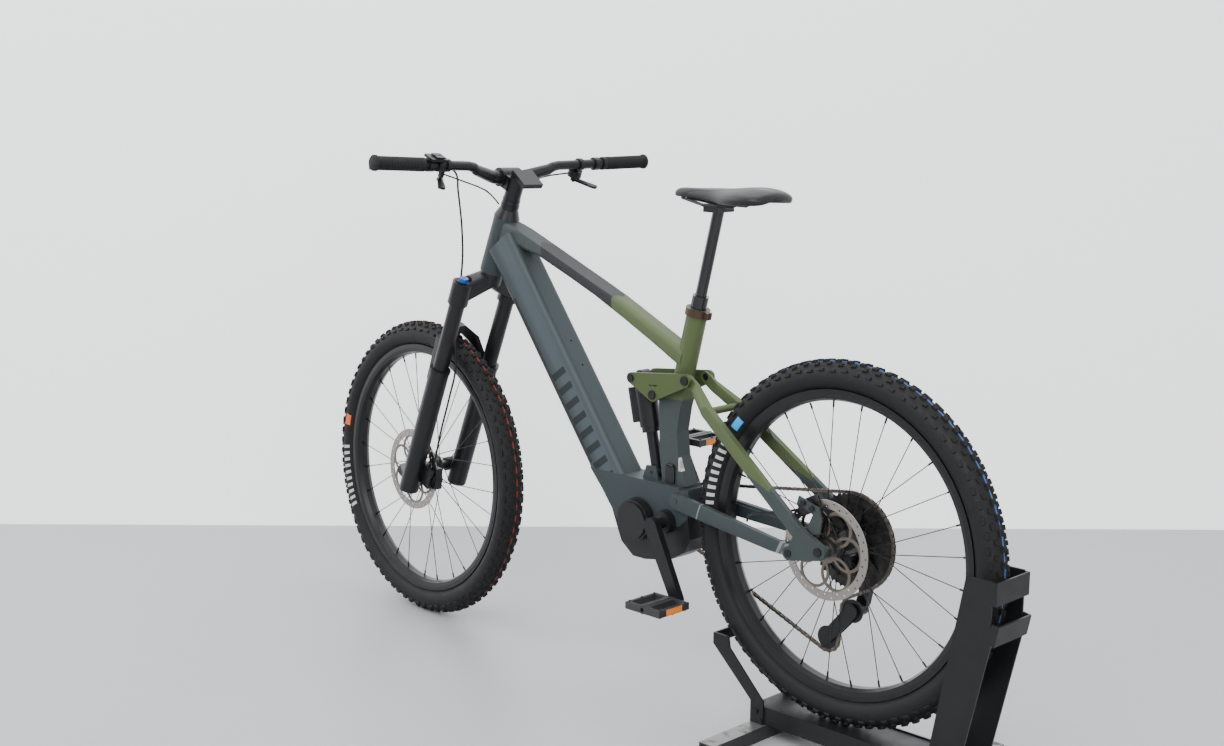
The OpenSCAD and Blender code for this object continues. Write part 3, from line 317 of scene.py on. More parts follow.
# The seat tube is olive above the rocker and petrol below it, with a narrow dark
# sticker of pale printed lines low on its left side.
label_at, label_half, upper_from = (0.259, 0.535), (0.005, 0.018), 0.672
made, flake = lacquer("seat_tube_colours", olive)
sx, sy, sz = made.place()
across = made.ramp(abs(sx - label_at[0]), label_half[0] + 0.0002, label_half[0])
label = across * made.ramp(abs(sz - label_at[1]), label_half[1] + 0.0005, label_half[1]) * (sy > 0.01)
print_line = ((sz * 520).maths("FRACT") < 0.45) * (abs(sx - label_at[0]) < 0.003)
base = made.blend(flake * 0.16, made.blend(sz > upper_from, petrol, olive), (0.16, 0.18, 0.14))
made.feed(Base_Color=made.blend(label, base, made.blend(print_line, (0.6, 0.6, 0.58), (0.05, 0.05, 0.05))))
made.bump(flake, 0.015, 0.0002)
paint(made, "seat_tube")
smoothed("head_tube", "down_tube", "top_tube", "seat_tube", "motor_shell")

# ---- Motor, covers and battery. Cast magnesium cases under textured black plastic,
# screwed to the frame; the battery slides into the down tube from below.


def wear(name, colour, rough, metal=0.0, coat=0.0, grain=900, bump=0.06, specular=0.5):
    """A plain finish with fine grain in its colour, gloss and surface."""
    spread, tint = 0.12, 0.25
    made = Finish(name, colour, rough, metal, coat, specular)
    broad, fine = made.noise(9), made.noise(grain)
    dark, light = tinted(colour, 1 - tint), tinted(colour, 1 + tint)
    made.feed(Base_Color=made.blend(broad * 0.7 + fine * 0.3, dark, light),
              Roughness=broad * spread + fine * spread * 0.5 + (rough - spread * 0.75))
    made.bump(fine, bump, 0.0003)
    return made


plastic = wear("black_plastic", (0.0065, 0.0068, 0.0078), 0.42, specular=0.35, grain=1500, bump=0.12)
paint(plastic, "motor", "motor_covers", "port_flap", "battery", "battery_cover")
smoothed("motor", "motor_covers")

# ---- Seat clamp and seat post. The clamp is anodised bronze; the post is black, with a
# polished inner tube that slides in the outer one and carries the saddle's steel rails.
bronze = wear("clamp_bronze", (0.075, 0.05, 0.034), 0.36, 0.8, grain=700)
gloss = wear("post_black", (0.008, 0.008, 0.009), 0.18, 0.3, 0.4, grain=900, bump=0.02)
satin = wear("black_metal", (0.0075, 0.0078, 0.009), 0.32, 0.1, specular=0.35, grain=1200, bump=0.05)
paint(bronze, "seat_clamp")
paint(gloss, "post_outer", "post_inner")
paint(satin, "saddle_rails")
smoothed("seat_clamp", "post_outer", "post_inner", "saddle_rails")

# ---- Rear suspension. Machined and welded aluminium links on bearings: the rocker and
# the stays are olive, the chainstays and the ends of the seatstays petrol, the shock black.
made, flake = lacquer("rocker_olive", olive)
mottle = flake * 0.2 + made.noise(5, 4) * 0.3
made.feed(Base_Color=made.blend(mottle, tinted(olive, 0.85), tinted(olive, 1.25)))
paint(made, "rocker_link")

made, flake = lacquer("stay_colours", olive)
sx, sy, sz = made.place()
low = (sz - sx * 0.4 < 0.5475).maths("MAXIMUM", sx < -0.035)
made.feed(Base_Color=made.blend(flake * 0.15, made.blend(low, olive, petrol), (0.16, 0.18, 0.14)))
paint(made, "seatstays")

made, flake = lacquer("chainstay_petrol", petrol)
sx, sy, sz = made.place()
line = made.ramp(abs(sx + sz * 0.35 - 0.335), 0.0022, 0.0016)
stripe = abs(sx + sz * 0.5 - 0.145)
chevron = made.ramp(stripe, 0.012, 0.011) * (1 - made.ramp(stripe, 0.004, 0.003) * 0.8)
base = made.blend(flake * 0.2, petrol, (0.08, 0.1, 0.1))
made.feed(Base_Color=made.blend(line * 0.5 + chevron * 0.55, base, (0.3, 0.33, 0.33)))
paint(made, "chainstays")
paint(satin, "rocker_bolts", "shock_can", "rear_axle", "rear_caliper", "shock_shaft")
smoothed("rocker_link", "seatstays", "chainstays", "rocker_bolts", "shock_can", "shock_shaft", "rear_axle",
         "rear_caliper")

# ---- Rims. Extruded aluminium hoops, welded at one joint, drilled for the spokes and
# anodised satin black.
paint(satin, "rear_rim", "front_rim")
smoothed("rear_rim", "front_rim")

# ---- Spokes. Drawn stainless steel wire, blackened, with brass nipples at the rim and
# bent heads at the hub, crossing one another on each side of the wheel.
spoke = wear("spoke_steel", (0.03, 0.03, 0.032), 0.3, 0.9, grain=600)
paint(spoke, "rear_spokes", "front_spokes")
smoothed("rear_spokes", "front_spokes")

# ---- Tyres. Moulded rubber, a smooth round casing with rows of blocks on the tread and
# one coloured line round it, fitted over the rims. A label and a row of bars are on the left.
tyre_mid, casing_r, rim_edge, tread_pitches = 0.339, 0.0292, 0.3125, 78
joints = {j["name"]: j for j in frame["joints"]}
turned = Matrix.Rotation(math.radians(-22), 4, "Y") @ Matrix.Rotation(math.radians(-4), 4, "Z")
wheel_place = {"rear": Matrix.Translation(joints["rear_wheel_spin"]["pos_m"]),
               "front": Matrix.Translation(joints["front_wheel_spin"]["pos_m"]) @ turned}

# Each row of blocks: its size outwards, round and across, how much its top draws in, the
# two leans that its blocks take in turn, its shift round the tyre in pitches, and its turn.
tread_rows = {"centre": ((0.0052, 0.009, 0.0125), 0.86, (9, 12), 0, 0),
              "between": ((0.0048, 0.0085, 0.0105), 0.84, (31, 36), 0.5, 12),
              "shoulder": ((0.0046, 0.007, 0.0145), 0.82, (64, 60), 0, -4)}
left_half_shift, block_sunk = 0.22, 0.0008


def joined(pieces, name):
    alone(*pieces)
    bpy.ops.object.join()
    return named(name)


def applied(piece):
    """Puts a piece's place, turn and size into its mesh."""
    alone(piece)
    bpy.ops.object.transform_apply(location=True, rotation=True, scale=True)
    return piece


def copied(piece, place):
    """A copy with its own mesh, whose place is in that mesh."""
    twin = piece.copy()
    twin.data = piece.data.copy()
    twin.data.transform(place)
    bpy.context.scene.collection.objects.link(twin)
    return twin


def block(name, size, top):
    """One tread block: a cube whose outer face is drawn in and dished."""
    bpy.ops.object.select_all(action="DESELECT")
    bpy.ops.mesh.primitive_cube_add(size=1, location=(size[0] / 2, 0, 0))
    made = named(name)
    made.scale = size
    applied(made)
    bpy.ops.object.mode_set(mode="EDIT")
    bpy.ops.mesh.select_all(action="DESELECT")
    bpy.ops.object.mode_set(mode="OBJECT")
    for face in made.data.polygons:
        face.select = face.normal.x > 0.9
    bpy.ops.object.mode_set(mode="EDIT")
    bpy.ops.transform.resize(value=(1, top, top))
    bpy.ops.mesh.inset(thickness=size[2] * 0.16)
    bpy.ops.mesh.inset(thickness=size[2] * 0.05, depth=-size[0] * 0.12)
    bpy.ops.object.mode_set(mode="OBJECT")
    return made


def tyre(side):
    bpy.ops.object.select_all(action="DESELECT")
    bpy.ops.mesh.primitive_circle_add(vertices=40, radius=casing_r, location=(tyre_mid, 0, 0))
    casing = applied(named(side + "_casing"))
    bpy.ops.object.mode_set(mode="EDIT")
    bpy.ops.mesh.select_all(action="SELECT")
    bpy.ops.mesh.bisect(plane_co=(rim_edge, 0, 0), plane_no=(-1, 0, 0), clear_outer=True)
    bpy.ops.mesh.select_all(action="SELECT")
    bpy.ops.mesh.spin(steps=144, angle=math.tau, center=(0, 0, 0), axis=(0, 1, 0))
    bpy.ops.mesh.select_all(action="SELECT")
    bpy.ops.mesh.remove_doubles(threshold=0.00005)
    bpy.ops.mesh.normals_make_consistent(inside=False)
    bpy.ops.object.mode_set(mode="OBJECT")
    bpy.ops.object.shade_smooth()
    kinds = {name: block(name, size, top) for name, (size, top, *_) in tread_rows.items()}
    blocks = []
    for i in range(tread_pitches):
        for half in (-1, 1):
            odd = (i + (half > 0)) % 2
            start = i + (left_half_shift if half > 0 else 0)
            for name, (_, _, leans, shift, turn) in tread_rows.items():
                around = Matrix.Rotation(math.tau * (start + shift) / tread_pitches, 4, "Y")
                lean = Matrix.Rotation(math.radians(leans[odd] * half), 4, "Z")
                out = Matrix.Translation((casing_r - block_sunk, 0, 0))
                twist = Matrix.Rotation(math.radians(turn * half), 4, "X")
                seat = around @ Matrix.Translation((tyre_mid, 0, 0)) @ lean @ out @ twist
                blocks.append(copied(kinds[name], seat))
    for kind in kinds.values():
        bpy.data.objects.remove(kind)
    made = joined([casing, *blocks], side + "_tyre_tread")
    made.data.transform(wheel_place[side])
    return made


def rubber(side, line, label, label_at, mark_at):
    """Tyre rubber, with its coloured line, its label and its row of white bars."""
    wall_mid, bar_step, bar_n = 0.333, 0.052, 5.0
    made = Finish(side + "_tyre_rubber", (0.007, 0.007, 0.008), 0.6, specular=0.25)
    put = wheel_place[side]
    sx, sy, sz = made.place(put.translation, put.to_euler("XYZ"))
    far = (sx * sx + sz * sz).maths("SQRT")
    angle = sz.maths("ARCTAN2", sx)
    cloud, grain = made.noise(40, 5), made.noise(700, 2)
    wall, left = made.ramp(abs(sy), 0.021, 0.024), sy > 0.01
    stripe = made.ramp(abs(sy - 0.001), 0.0021, 0.0013) * made.ramp(far, 0.3655, 0.367) * (far < 0.3702)
    tag = made.ramp(abs(far - 0.3335), 0.0088, 0.0078) * made.ramp(abs(angle - label_at), 0.045, 0.042) * left
    ridge = made.ramp(abs(abs(far - 0.3165) - 0.0025), 0.0007, 0.0002)
    step = (angle - mark_at) / bar_step
    slant = step.maths("FRACT") - 0.5 + (far - wall_mid) * 9
    bar = made.ramp(abs(slant), 0.24, 0.21) * (abs(step) < bar_n)
    bar = bar * made.ramp(abs(far - wall_mid), 0.0095, 0.009) * left
    base = made.blend(cloud * 0.6 + grain * 0.4, (0.0045, 0.0045, 0.005), (0.011, 0.011, 0.0115))
    base = made.blend(stripe * made.ramp(cloud, 0.3, 0.42) * 0.85, base, line)
    base = made.blend(tag, base, label)
    base = made.blend(bar * made.ramp(grain, 0.2, 0.4) * 0.85, base, (0.55, 0.56, 0.57))
    made.feed(Base_Color=base, Roughness=cloud * 0.2 + 0.5 + (1 - wall) * 0.12)
    made.bump(grain * 0.4 + ridge, 0.35, 0.0008)
    return made


for side, line, label, label_at, mark_at in (
        ("rear", (0.06, 0.14, 0.36), (0.03, 0.34, 0.78), 0.68, 0.27),
        ("front", (0.22, 0.035, 0.018), (0.75, 0.13, 0.02), -0.16, -0.62)):
    tread = tyre(side)
    clad(tread, rubber(side, line, label, label_at, mark_at))
    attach(tread, side + "_wheel")
    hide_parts(side + "_tyre")

# ---- Hubs and brake rotors. Forged black hubs; each rotor is a stamped steel disc, bolted
# to the hub's left side and worn to a brownish silver where the pads run.
for side, rotor_y in (("rear", 0.0577), ("front", 0.0436)):
    made = Finish(side + "_rotor_steel", (0.3, 0.27, 0.24), 0.3, 1.0)
    put = wheel_place[side]
    sx, sy, sz = made.place(put.translation, put.to_euler("XYZ"))
    far = (sx * sx + sz * sz).maths("SQRT")
    cloud, fine = made.noise(70, 3), made.noise(1300, 2)
    turning = made.node("ShaderNodeTexNoise", {"noise_dimensions": "1D"}, W=far * 900, Detail=2.0)
    disc = made.ramp(abs(sy - rotor_y), 0.0024, 0.0022) * (far > 0.022)
    steel = made.blend(made.ramp(far, 0.083, 0.086), (0.17, 0.145, 0.12), (0.36, 0.335, 0.31))
    steel = made.blend(turning * 0.35, steel, (0.12, 0.105, 0.09))
    shell = made.blend(cloud, (0.1, 0.1, 0.1), (0.2, 0.2, 0.2))
    shell = made.blend(made.ramp(far, 0.026, 0.029), shell, (0.03, 0.03, 0.031))
    made.feed(Base_Color=made.blend(disc, shell, steel), Roughness=cloud * 0.16 + 0.22 + (1 - disc) * 0.12)
    made.bump(turning * disc + fine * 0.3, 0.1, 0.0003)
    paint(made, side + "_hub")
smoothed("rear_hub", "front_hub")

# ---- Fork crown and stanchions. The crown is forged and black, with a blue damping dial
# on top of the left leg; the stanchions are pressed into it.
head_place = Matrix.Translation(joints["steering"]["pos_m"]) @ turned
dial_x, dial_y, dial_r, dial_z = 0.006, 0.074, 0.0125, -0.0315
made = Finish("crown_black", (0.008, 0.008, 0.009), 0.34, specular=0.3)
sx, sy, sz = made.place(head_place.translation, turned.to_euler("XYZ"))
cloud, fine = made.noise(30, 3), made.noise(1300, 2)
off_x, off_y = sx - dial_x, sy - dial_y
dial = ((off_x * off_x + off_y * off_y).maths("SQRT") < dial_r) * (sz > dial_z)
base = made.blend(cloud, (0.006, 0.006, 0.007), (0.012, 0.012, 0.013))
made.feed(Base_Color=made.blend(dial, base, (0.015, 0.09, 0.34)), Roughness=cloud * 0.16 + 0.26)
made.bump(fine, 0.06, 0.0003)
paint(made, "crown", "stanchions")
smoothed("crown", "stanchions")

# ---- Fork lowers and front calliper. A magnesium casting of two legs and an arch, satin
# black; the calliper is bolted to the back of the left leg.
paint(satin, "fork_lowers", "front_caliper")
smoothed("fork_lowers", "front_caliper")

# ---- Cockpit. A forged stem clamps an aluminium bar; the clamps, switches and levers are
# bolted round it, and each lever turns on a pin. The cables are black outer casing.
paint(satin, "stem", "handlebar", "controls", "brake_lever_left", "brake_lever_right", "post_lever",
      "shift_paddle", "remote_button", "cables", "hose_rear")
smoothed("stem", "handlebar", "controls", "brake_lever_left", "brake_lever_right", "cables", "hose_rear")

# ---- Grips. Black rubber sleeves with fine ribs round them and a flange at each end,
# held on the bar by a locking ring.
bar_bend, bar_tip = Vector((0.022, 0.125, 0.2613)), Vector((0.014, 0.395, 0.2743))
bar_run = bar_tip - bar_bend
sweep, rise = math.atan2(-bar_run.x, bar_run.y), math.atan2(bar_run.z, bar_run.y)
bar_turn = Matrix.Rotation(sweep, 4, "Z") @ Matrix.Rotation(rise, 4, "X")
bar_place = head_place @ Matrix.Translation(bar_bend) @ bar_turn
flip = head_place @ Matrix.Scale(-1, 4, (0, 1, 0)) @ head_place.inverted()
rib_n, rib_pitch, rib_from, groove_r, rib_r = 27, 0.0042, 0.149, 0.0146, 0.0157


def spun(name, line, steps):
    """A round piece on the y axis: a line drawn out point by point as (radius, along), then spun."""
    bpy.ops.object.select_all(action="DESELECT")
    bpy.ops.mesh.primitive_plane_add(size=0.001, location=(line[0][0], line[0][1], 0))
    made = applied(named(name))
    bpy.ops.object.mode_set(mode="EDIT")
    bpy.ops.mesh.select_all(action="SELECT")
    bpy.ops.mesh.merge(type="CENTER")
    for before, after in zip(line, line[1:]):
        step = (after[0] - before[0], after[1] - before[1], 0)
        bpy.ops.mesh.extrude_region_move(TRANSFORM_OT_translate={"value": step})
    bpy.ops.mesh.select_all(action="SELECT")
    bpy.ops.mesh.spin(steps=steps, angle=math.tau, center=(0, 0, 0), axis=(0, 1, 0))
    bpy.ops.mesh.select_all(action="SELECT")
    bpy.ops.mesh.remove_doubles(threshold=0.00002)
    bpy.ops.mesh.normals_make_consistent(inside=False)
    bpy.ops.object.mode_set(mode="OBJECT")
    bpy.ops.object.shade_smooth_by_angle(angle=math.radians(50))
    return made


line = [(0.0112, 0.1372), (rib_r, 0.1372), (0.0158, 0.1455), (groove_r, 0.147)]
for i in range(rib_n):
    start = rib_from + i * rib_pitch
    line += [(groove_r, start), (0.0156, start + 0.0008), (rib_r, start + 0.0024), (groove_r, start + 0.0032)]
line += [(groove_r, 0.2645), (0.0176, 0.266), (0.0179, 0.2715), (0.0164, 0.2732), (0, 0.2732)]
sleeve = spun("grip_left", line, 32)
sleeve.data.transform(bar_place)
other = copied(sleeve, flip)
other.name = other.data.name = "grip_right"
other.data.flip_normals()
grips = joined([sleeve, other], "grip_sleeves")
clad(grips, wear("grip_rubber", (0.009, 0.009, 0.0095), 0.66, specular=0.25, grain=1400, bump=0.25))
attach(grips, "steering")
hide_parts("grips")

# ---- Front brake hose. A stiff rubber hose, 5 mm thick, from the brake lever down behind
# the left leg to its calliper, laid as one fixed curve that does not bend with the fork.
# Its points are in the head's frame.
hose_r = 0.0025
hose_points = [(43.4, 173.5, 249.4), (52, 140, 232), (70, 104, 176), (64, 66, 70), (56, 46, -20),
               (44, 44, -110), (20, 43, -190), (-14, 44, -260), (-26, 50, -330), (-31, 52, -430),
               (-35.2, 48, -528.2)]
path = bpy.data.curves.new("hose_path", "CURVE")
path.dimensions, path.use_fill_caps = "3D", True
path.bevel_depth, path.bevel_resolution, path.resolution_u = hose_r, 2, 6
thread = path.splines.new("BEZIER")
thread.bezier_points.add(len(hose_points) - 1)
for knot, at in zip(thread.bezier_points, hose_points):
    knot.co = head_place @ (Vector(at) / 1000)
    knot.handle_left_type = knot.handle_right_type = "AUTO"
hose = bpy.data.objects.new("front_brake_hose", path)
bpy.context.scene.collection.objects.link(hose)
alone(hose)
bpy.ops.object.convert(target="MESH")
hose = named("front_brake_hose")
bpy.ops.object.shade_smooth()
clad(hose, wear("hose_rubber", (0.008, 0.008, 0.009), 0.45, specular=0.35, grain=1500))
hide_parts("hose_front")
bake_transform(hose)

# ---- The saddle. A padded shell under a smooth black cover, wide at the back and drawn
# to a long nose, with a shallow channel down its middle.
low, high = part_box("saddle")
long, half, tall = high.x - low.x, (high.y - low.y) / 2, high.z - low.z

# Each station's place along, then its width, its crown and its depth, as shares of the whole.
stations = ((0.005, 0.6, 0.7, 0.5), (0.05, 0.86, 0.86, 0.8), (0.14, 0.98, 0.97, 0.98), (0.26, 0.96, 0.96, 1),
            (0.38, 0.78, 0.9, 0.98), (0.5, 0.52, 0.86, 0.86), (0.62, 0.35, 0.84, 0.74),
            (0.78, 0.27, 0.83, 0.64), (0.92, 0.22, 0.78, 0.55), (0.985, 0.15, 0.66, 0.4))
channel_half, channel_deep = 0.009, 0.004


def chosen(piece, test):
    """Opens a piece for editing with only the corners that pass a test selected."""
    bpy.ops.object.mode_set(mode="EDIT")
    bpy.ops.mesh.select_mode(type="VERT")
    bpy.ops.mesh.select_all(action="DESELECT")
    bpy.ops.object.mode_set(mode="OBJECT")
    for i, corner in enumerate(piece.data.vertices):
        corner.select = test(i, corner.co)
    bpy.ops.object.mode_set(mode="EDIT")


def section(along, wide, crown, deep):
    """A station's real place, half width, top and half depth."""
    return low.x + along * long, half * wide, low.z + crown * tall, tall * 0.5 * deep


bpy.ops.object.select_all(action="DESELECT")
bpy.ops.mesh.primitive_circle_add(vertices=32, radius=1, rotation=(math.radians(90), 0, math.radians(90)))
saddle = applied(named("saddle_cover"))
chosen(saddle, lambda i, co: co.z < -0.6)
bpy.ops.transform.resize(value=(1, 1, -0.25), center_override=(0, 0, -0.1))
bpy.ops.mesh.select_all(action="SELECT")
x, width, top, deep = section(*stations[0])
bpy.ops.transform.resize(value=(1, width, deep), center_override=(0, 0, 0))
bpy.ops.transform.translate(value=(x, 0, top - deep))
for station in stations[1:]:
    after = section(*station)
    bpy.ops.mesh.extrude_region_move(TRANSFORM_OT_translate={"value": (after[0] - x, 0, 0)})
    bpy.ops.transform.resize(value=(1, after[1] / width, after[3] / deep),
                             center_override=(after[0], 0, top - deep))
    bpy.ops.transform.translate(value=(0, 0, after[2] - after[3] - top + deep))
    x, width, top, deep = after
bpy.ops.mesh.edge_face_add()
bpy.ops.object.mode_set(mode="OBJECT")
chosen(saddle, lambda i, co: co.x < low.x + 0.006 * long)
bpy.ops.mesh.edge_face_add()
bpy.ops.object.mode_set(mode="OBJECT")
chosen(saddle, lambda i, co: abs(co.y) < channel_half and co.z > low.z + 0.55 * tall
       and low.x + 0.1 * long < co.x < low.x + 0.8 * long)
bpy.ops.transform.translate(value=(0, 0, -channel_deep))
bpy.ops.mesh.select_all(action="SELECT")
bpy.ops.mesh.normals_make_consistent(inside=False)
bpy.ops.object.mode_set(mode="OBJECT")
round_off = saddle.modifiers.new("round", "SUBSURF")
round_off.levels = round_off.render_levels = 2
bpy.ops.object.modifier_apply(modifier="round")
bpy.ops.object.shade_smooth()
cover = Finish("saddle_cover", (0.01, 0.01, 0.011), 0.42, specular=0.3)
sx, sy, sz = cover.place(((low.x + high.x) / 2, 0, (low.z + high.z) / 2))
cloud, grain = cover.noise(12, 4), cover.noise(1600, 2)
seam = cover.ramp(abs(abs(sy) - 0.018 - cover.ramp(sx, 0.06, -0.09) * 0.022), 0.0012, 0.0004)
cover.feed(Base_Color=cover.blend(cloud * 0.5 + grain * 0.5, (0.007, 0.007, 0.008), (0.016, 0.016, 0.017)),
           Roughness=cloud * 0.12 + 0.34 + seam * 0.2)
cover.bump(grain * 0.3 - seam * 1.5, 0.3, 0.0008)
clad(saddle, cover)
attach(saddle, "seat_post")
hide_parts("saddle")

# ---- Cranks and derailleur. Forged cranks and a steel chainring on the motor's axle; the
# derailleur hangs from the right dropout, with two guide wheels in its sprung cage.
paint(satin, "cranks", "chainring", "derailleur", "derailleur_cage", "jockey_upper", "jockey_lower")
smoothed("cranks", "derailleur")

# ---- Pedals. Black composite platforms with moulded pins and an orange reflector set
# into the front and back edges, each turning on a steel spindle.
glass_deep, glass_half_wide, glass_half_tall = 0.0012, 0.024, 0.0065
for pedal in ("pedal_left", "pedal_right"):
    low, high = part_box(pedal)
    middle, half_long = (low + high) / 2, (high.x - low.x) / 2
    made = Finish(pedal, (0.015, 0.015, 0.016), 0.5)
    sx, sy, sz = made.place(middle)
    cloud, fine = made.noise(60, 4), made.noise(1200, 2)
    glow = (abs(sx) > half_long - glass_deep) * (abs(sy) < glass_half_wide) * (abs(sz) < glass_half_tall)
    prism = made.node("ShaderNodeTexVoronoi", {"feature": "F1"}, Vector=made.spot(middle), Scale=420.0)
    base = made.blend(cloud, (0.01, 0.01, 0.011), (0.028, 0.028, 0.03))
    made.feed(Base_Color=made.blend(glow, base, (0.75, 0.2, 0.02)),
              Roughness=cloud * 0.2 + 0.38 - glow * 0.25)
    made.bump(fine * 0.3 + prism * glow, 0.2, 0.0005)
    paint(made, pedal)

# ---- Cassette. Twelve thin toothed rings of black steel, stepped outwards to the right,
# on a spider with six arms and a splined barrel.
axle = wheel_place["rear"]
pitch = 0.0127
cogs = (50, 44, 38, 33, 28, 24, 21, 18, 16, 14, 12, 10)
cog_y, cog_step, cog_thick, tooth_tall, root_in = -0.028, 0.00375, 0.0018, 0.0046, 0.0042
spider_n, barrel_in = 6, 0.0142


def toothed(name, teeth, root, inner, y):
    """A ring with pointed teeth: a circle, every third corner pulled out, drawn in and thickened."""
    bpy.ops.object.select_all(action="DESELECT")
    bpy.ops.mesh.primitive_circle_add(vertices=teeth * 3, radius=root, rotation=(math.radians(90), 0, 0))
    made = applied(named(name))
    chosen(made, lambda i, co: i % 3 == 0)
    tip, bore = 1 + tooth_tall / root, inner / root
    bpy.ops.transform.resize(value=(tip, 1, tip), center_override=(0, 0, 0))
    bpy.ops.mesh.select_all(action="SELECT")
    bpy.ops.mesh.extrude_region_move()
    bpy.ops.transform.resize(value=(bore, 1, bore), center_override=(0, 0, 0))
    bpy.ops.mesh.select_all(action="SELECT")
    bpy.ops.mesh.extrude_region_move(TRANSFORM_OT_translate={"value": (0, cog_thick, 0)})
    bpy.ops.mesh.select_all(action="SELECT")
    bpy.ops.transform.translate(value=(0, y - cog_thick / 2, 0))
    bpy.ops.mesh.normals_make_consistent(inside=False)
    bpy.ops.object.mode_set(mode="OBJECT")
    return made


roots = [pitch * teeth / math.tau - root_in for teeth in cogs] + [0.0155]
rings = []
for i, teeth in enumerate(cogs):
    inner = max(0.0145, roots[i + 1] - (0.007 if i < 8 else 0.003))
    rings.append(toothed("sprocket", teeth, roots[i], inner, cog_y - i * cog_step))
for i in range(spider_n):
    bpy.ops.object.select_all(action="DESELECT")
    bpy.ops.mesh.primitive_cube_add(size=1, location=(0.05, -0.0293, 0))
    arm = named("arm")
    arm.scale = (0.072, 0.0022, 0.009)
    applied(arm)
    for face in arm.data.polygons:
        face.select = face.normal.x > 0.9
    bpy.ops.object.mode_set(mode="EDIT")
    bpy.ops.mesh.select_mode(type="FACE")
    bpy.ops.transform.resize(value=(1, 1, 1.9))
    bpy.ops.object.mode_set(mode="OBJECT")
    arm.data.transform(Matrix.Rotation(math.tau * (i + 0.3) / spider_n, 4, "Y"))
    rings.append(arm)
barrel_line = [(barrel_in, -0.0255), (0.0172, -0.0255), (0.0172, -0.069), (barrel_in, -0.0698)]
rings.append(spun("barrel", barrel_line, 36))
cassette = joined(rings, "cassette_rings")
cassette.data.transform(axle)
bpy.ops.object.shade_smooth_by_angle(angle=math.radians(25))
made = Finish("cassette_black", (0.02, 0.02, 0.021), 0.34, 0.7)
cloud, fine = made.noise(60, 4), made.noise(900, 2)
bare = made.ramp(cloud + fine * 0.3, 0.55, 0.75)
made.feed(Base_Color=made.blend(bare * 0.16, (0.016, 0.016, 0.017), (0.16, 0.15, 0.14)),
          Roughness=cloud * 0.2 + 0.26)
made.bump(fine, 0.08, 0.0003)
clad(cassette, made)
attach(cassette, "cassette")
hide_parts("cassette")

# ---- Chain. Pairs of pressed steel plates on rollers, 12.7 mm apart, alternately outside
# and inside one another, oiled brown. Its line is laid out from the rear wheel's axle.
ring_at, cog_at = Vector((0.447, -0.055, -0.034)), Vector((0, cog_y, 0))
guide_a, guide_b = Vector((-0.008, cog_y, -0.14306)), Vector((0.054, cog_y, -0.21306))
ring_r, cog_r, guide_r = (pitch * teeth / math.tau for teeth in (34, cogs[0], 14))
arc_steps = 40
plate_r, plate_thick, waist, roller_r = 0.004, 0.0009, 0.0015, 0.0031


def aim(a, b):
    return math.atan2(b.z - a.z, b.x - a.x)


def span(a, b):
    return math.hypot(b.x - a.x, b.z - a.z)


top_turn = aim(ring_at, cog_at) - math.acos((ring_r - cog_r) / span(ring_at, cog_at))
low_turn = aim(guide_b, ring_at) - math.acos((guide_r - ring_r) / span(ring_at, guide_b))
cog_turn = math.tau + aim(cog_at, guide_a) - math.acos((cog_r + guide_r) / span(cog_at, guide_a))
cage_turn = aim(guide_a, guide_b) + math.acos(2 * guide_r / span(guide_a, guide_b))
route = []
for centre, radius, start, end in ((ring_at, ring_r, low_turn, top_turn), (cog_at, cog_r, top_turn, cog_turn),
                                   (guide_a, guide_r, cog_turn - math.pi, cage_turn),
                                   (guide_b, guide_r, cage_turn + math.pi, low_turn + math.tau)):
    for i in range(arc_steps + 1):
        angle = start + (end - start) * i / arc_steps
        route.append(centre + Vector((radius * math.cos(angle), 0, radius * math.sin(angle))))
route.append(route[0])
lengths = [0]
for a, b in zip(route, route[1:]):
    lengths.append(lengths[-1] + (b - a).length)
link_n = 2 * round(lengths[-1] / pitch / 2)


def along(share):
    """The point at a share of the chain's whole length."""
    want, i = share * lengths[-1], 0
    while i < len(lengths) - 2 and lengths[i + 1] < want:
        i += 1
    return route[i].lerp(route[i + 1], (want - lengths[i]) / max(1e-9, lengths[i + 1] - lengths[i]))


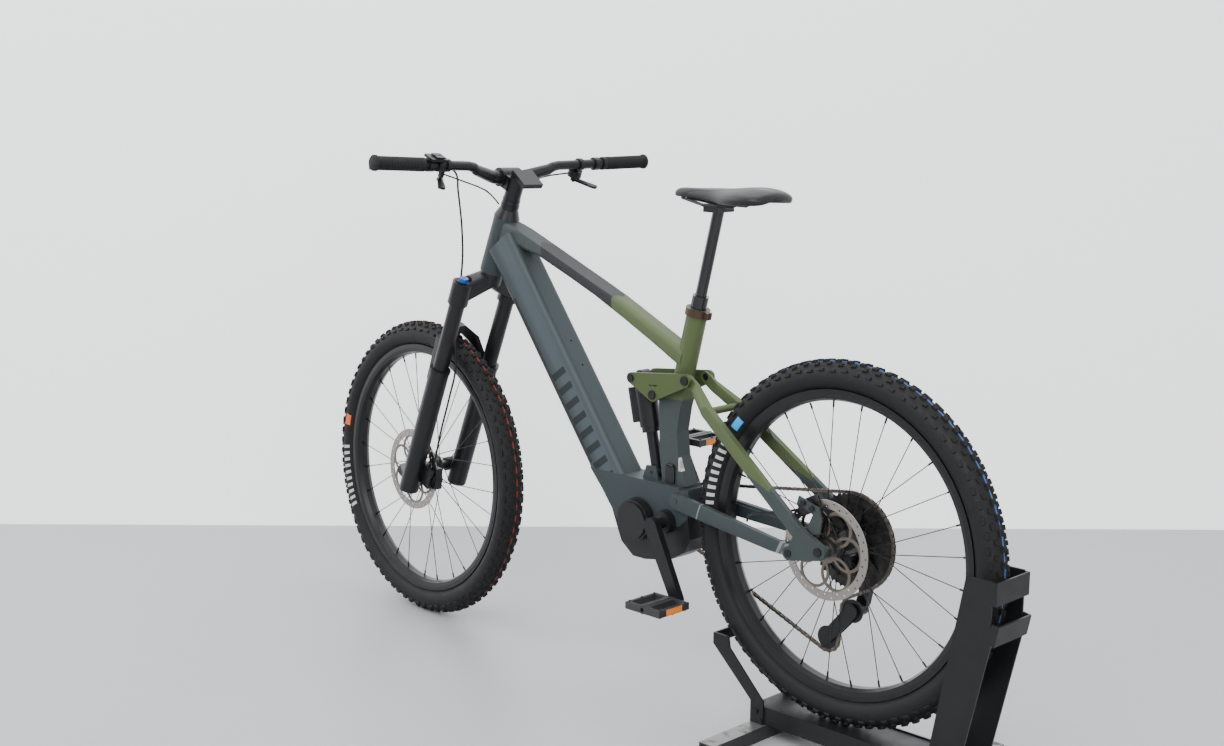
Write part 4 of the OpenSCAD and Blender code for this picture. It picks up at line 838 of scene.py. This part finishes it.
def link(name, y):
    """Two plates with waists at their middle, and the roller at one end of them."""
    parts = []
    for side in (-1, 1):
        bpy.ops.object.select_all(action="DESELECT")
        bpy.ops.mesh.primitive_circle_add(vertices=12, radius=plate_r, fill_type="NGON",
                                          location=(0, side * y, 0), rotation=(math.radians(90), 0, 0))
        plate = applied(named(name))
        chosen(plate, lambda i, co: co.x > waist)
        bpy.ops.transform.translate(value=(pitch / 2, 0, 0))
        bpy.ops.object.mode_set(mode="OBJECT")
        chosen(plate, lambda i, co: co.x < -waist)
        bpy.ops.transform.translate(value=(-pitch / 2, 0, 0))
        bpy.ops.object.mode_set(mode="OBJECT")
        chosen(plate, lambda i, co: abs(co.x) < waist)
        bpy.ops.transform.resize(value=(1, 1, 0.7))
        bpy.ops.mesh.select_all(action="SELECT")
        bpy.ops.mesh.extrude_region_move(TRANSFORM_OT_translate={"value": (0, side * plate_thick, 0)})
        bpy.ops.mesh.select_all(action="SELECT")
        bpy.ops.mesh.normals_make_consistent(inside=False)
        bpy.ops.object.mode_set(mode="OBJECT")
        parts.append(plate)
    bpy.ops.object.select_all(action="DESELECT")
    bpy.ops.mesh.primitive_cylinder_add(vertices=10, radius=roller_r, depth=2 * y + 0.0024,
                                        location=(-pitch / 2, 0, 0), rotation=(math.radians(90), 0, 0))
    pin = applied(named(name))
    for face in pin.data.polygons:
        face.select = abs(face.normal.y) > 0.9
    bpy.ops.object.mode_set(mode="EDIT")
    bpy.ops.mesh.select_mode(type="FACE")
    bpy.ops.mesh.bevel(offset=0.0005, segments=1)
    bpy.ops.object.mode_set(mode="OBJECT")
    parts.append(pin)
    return joined(parts, name)


kinds = [link("link_outer", 0.0026), link("link_inner", 0.0016)]
links = []
for i in range(link_n):
    a, b = along(i / link_n), along((i + 1) / link_n)
    x_way = (b - a).normalized()
    z_way = x_way.cross(Vector((0, 1, 0))).normalized()
    link_way = Matrix((x_way, z_way.cross(x_way), z_way)).transposed().to_4x4()
    links.append(copied(kinds[i % 2], Matrix.Translation(axle.translation + (a + b) / 2) @ link_way))
for kind in kinds:
    bpy.data.objects.remove(kind)
chain = joined(links, "chain_links")
oiled = Finish("chain_steel", (0.09, 0.075, 0.06), 0.36, 0.9)
cloud, fine = oiled.noise(90, 3), oiled.noise(1500, 2)
oiled.feed(Base_Color=oiled.blend(cloud, (0.045, 0.036, 0.03), (0.2, 0.175, 0.15)),
           Roughness=fine * 0.2 + 0.26)
clad(chain, oiled)
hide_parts("chain")
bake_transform(chain)
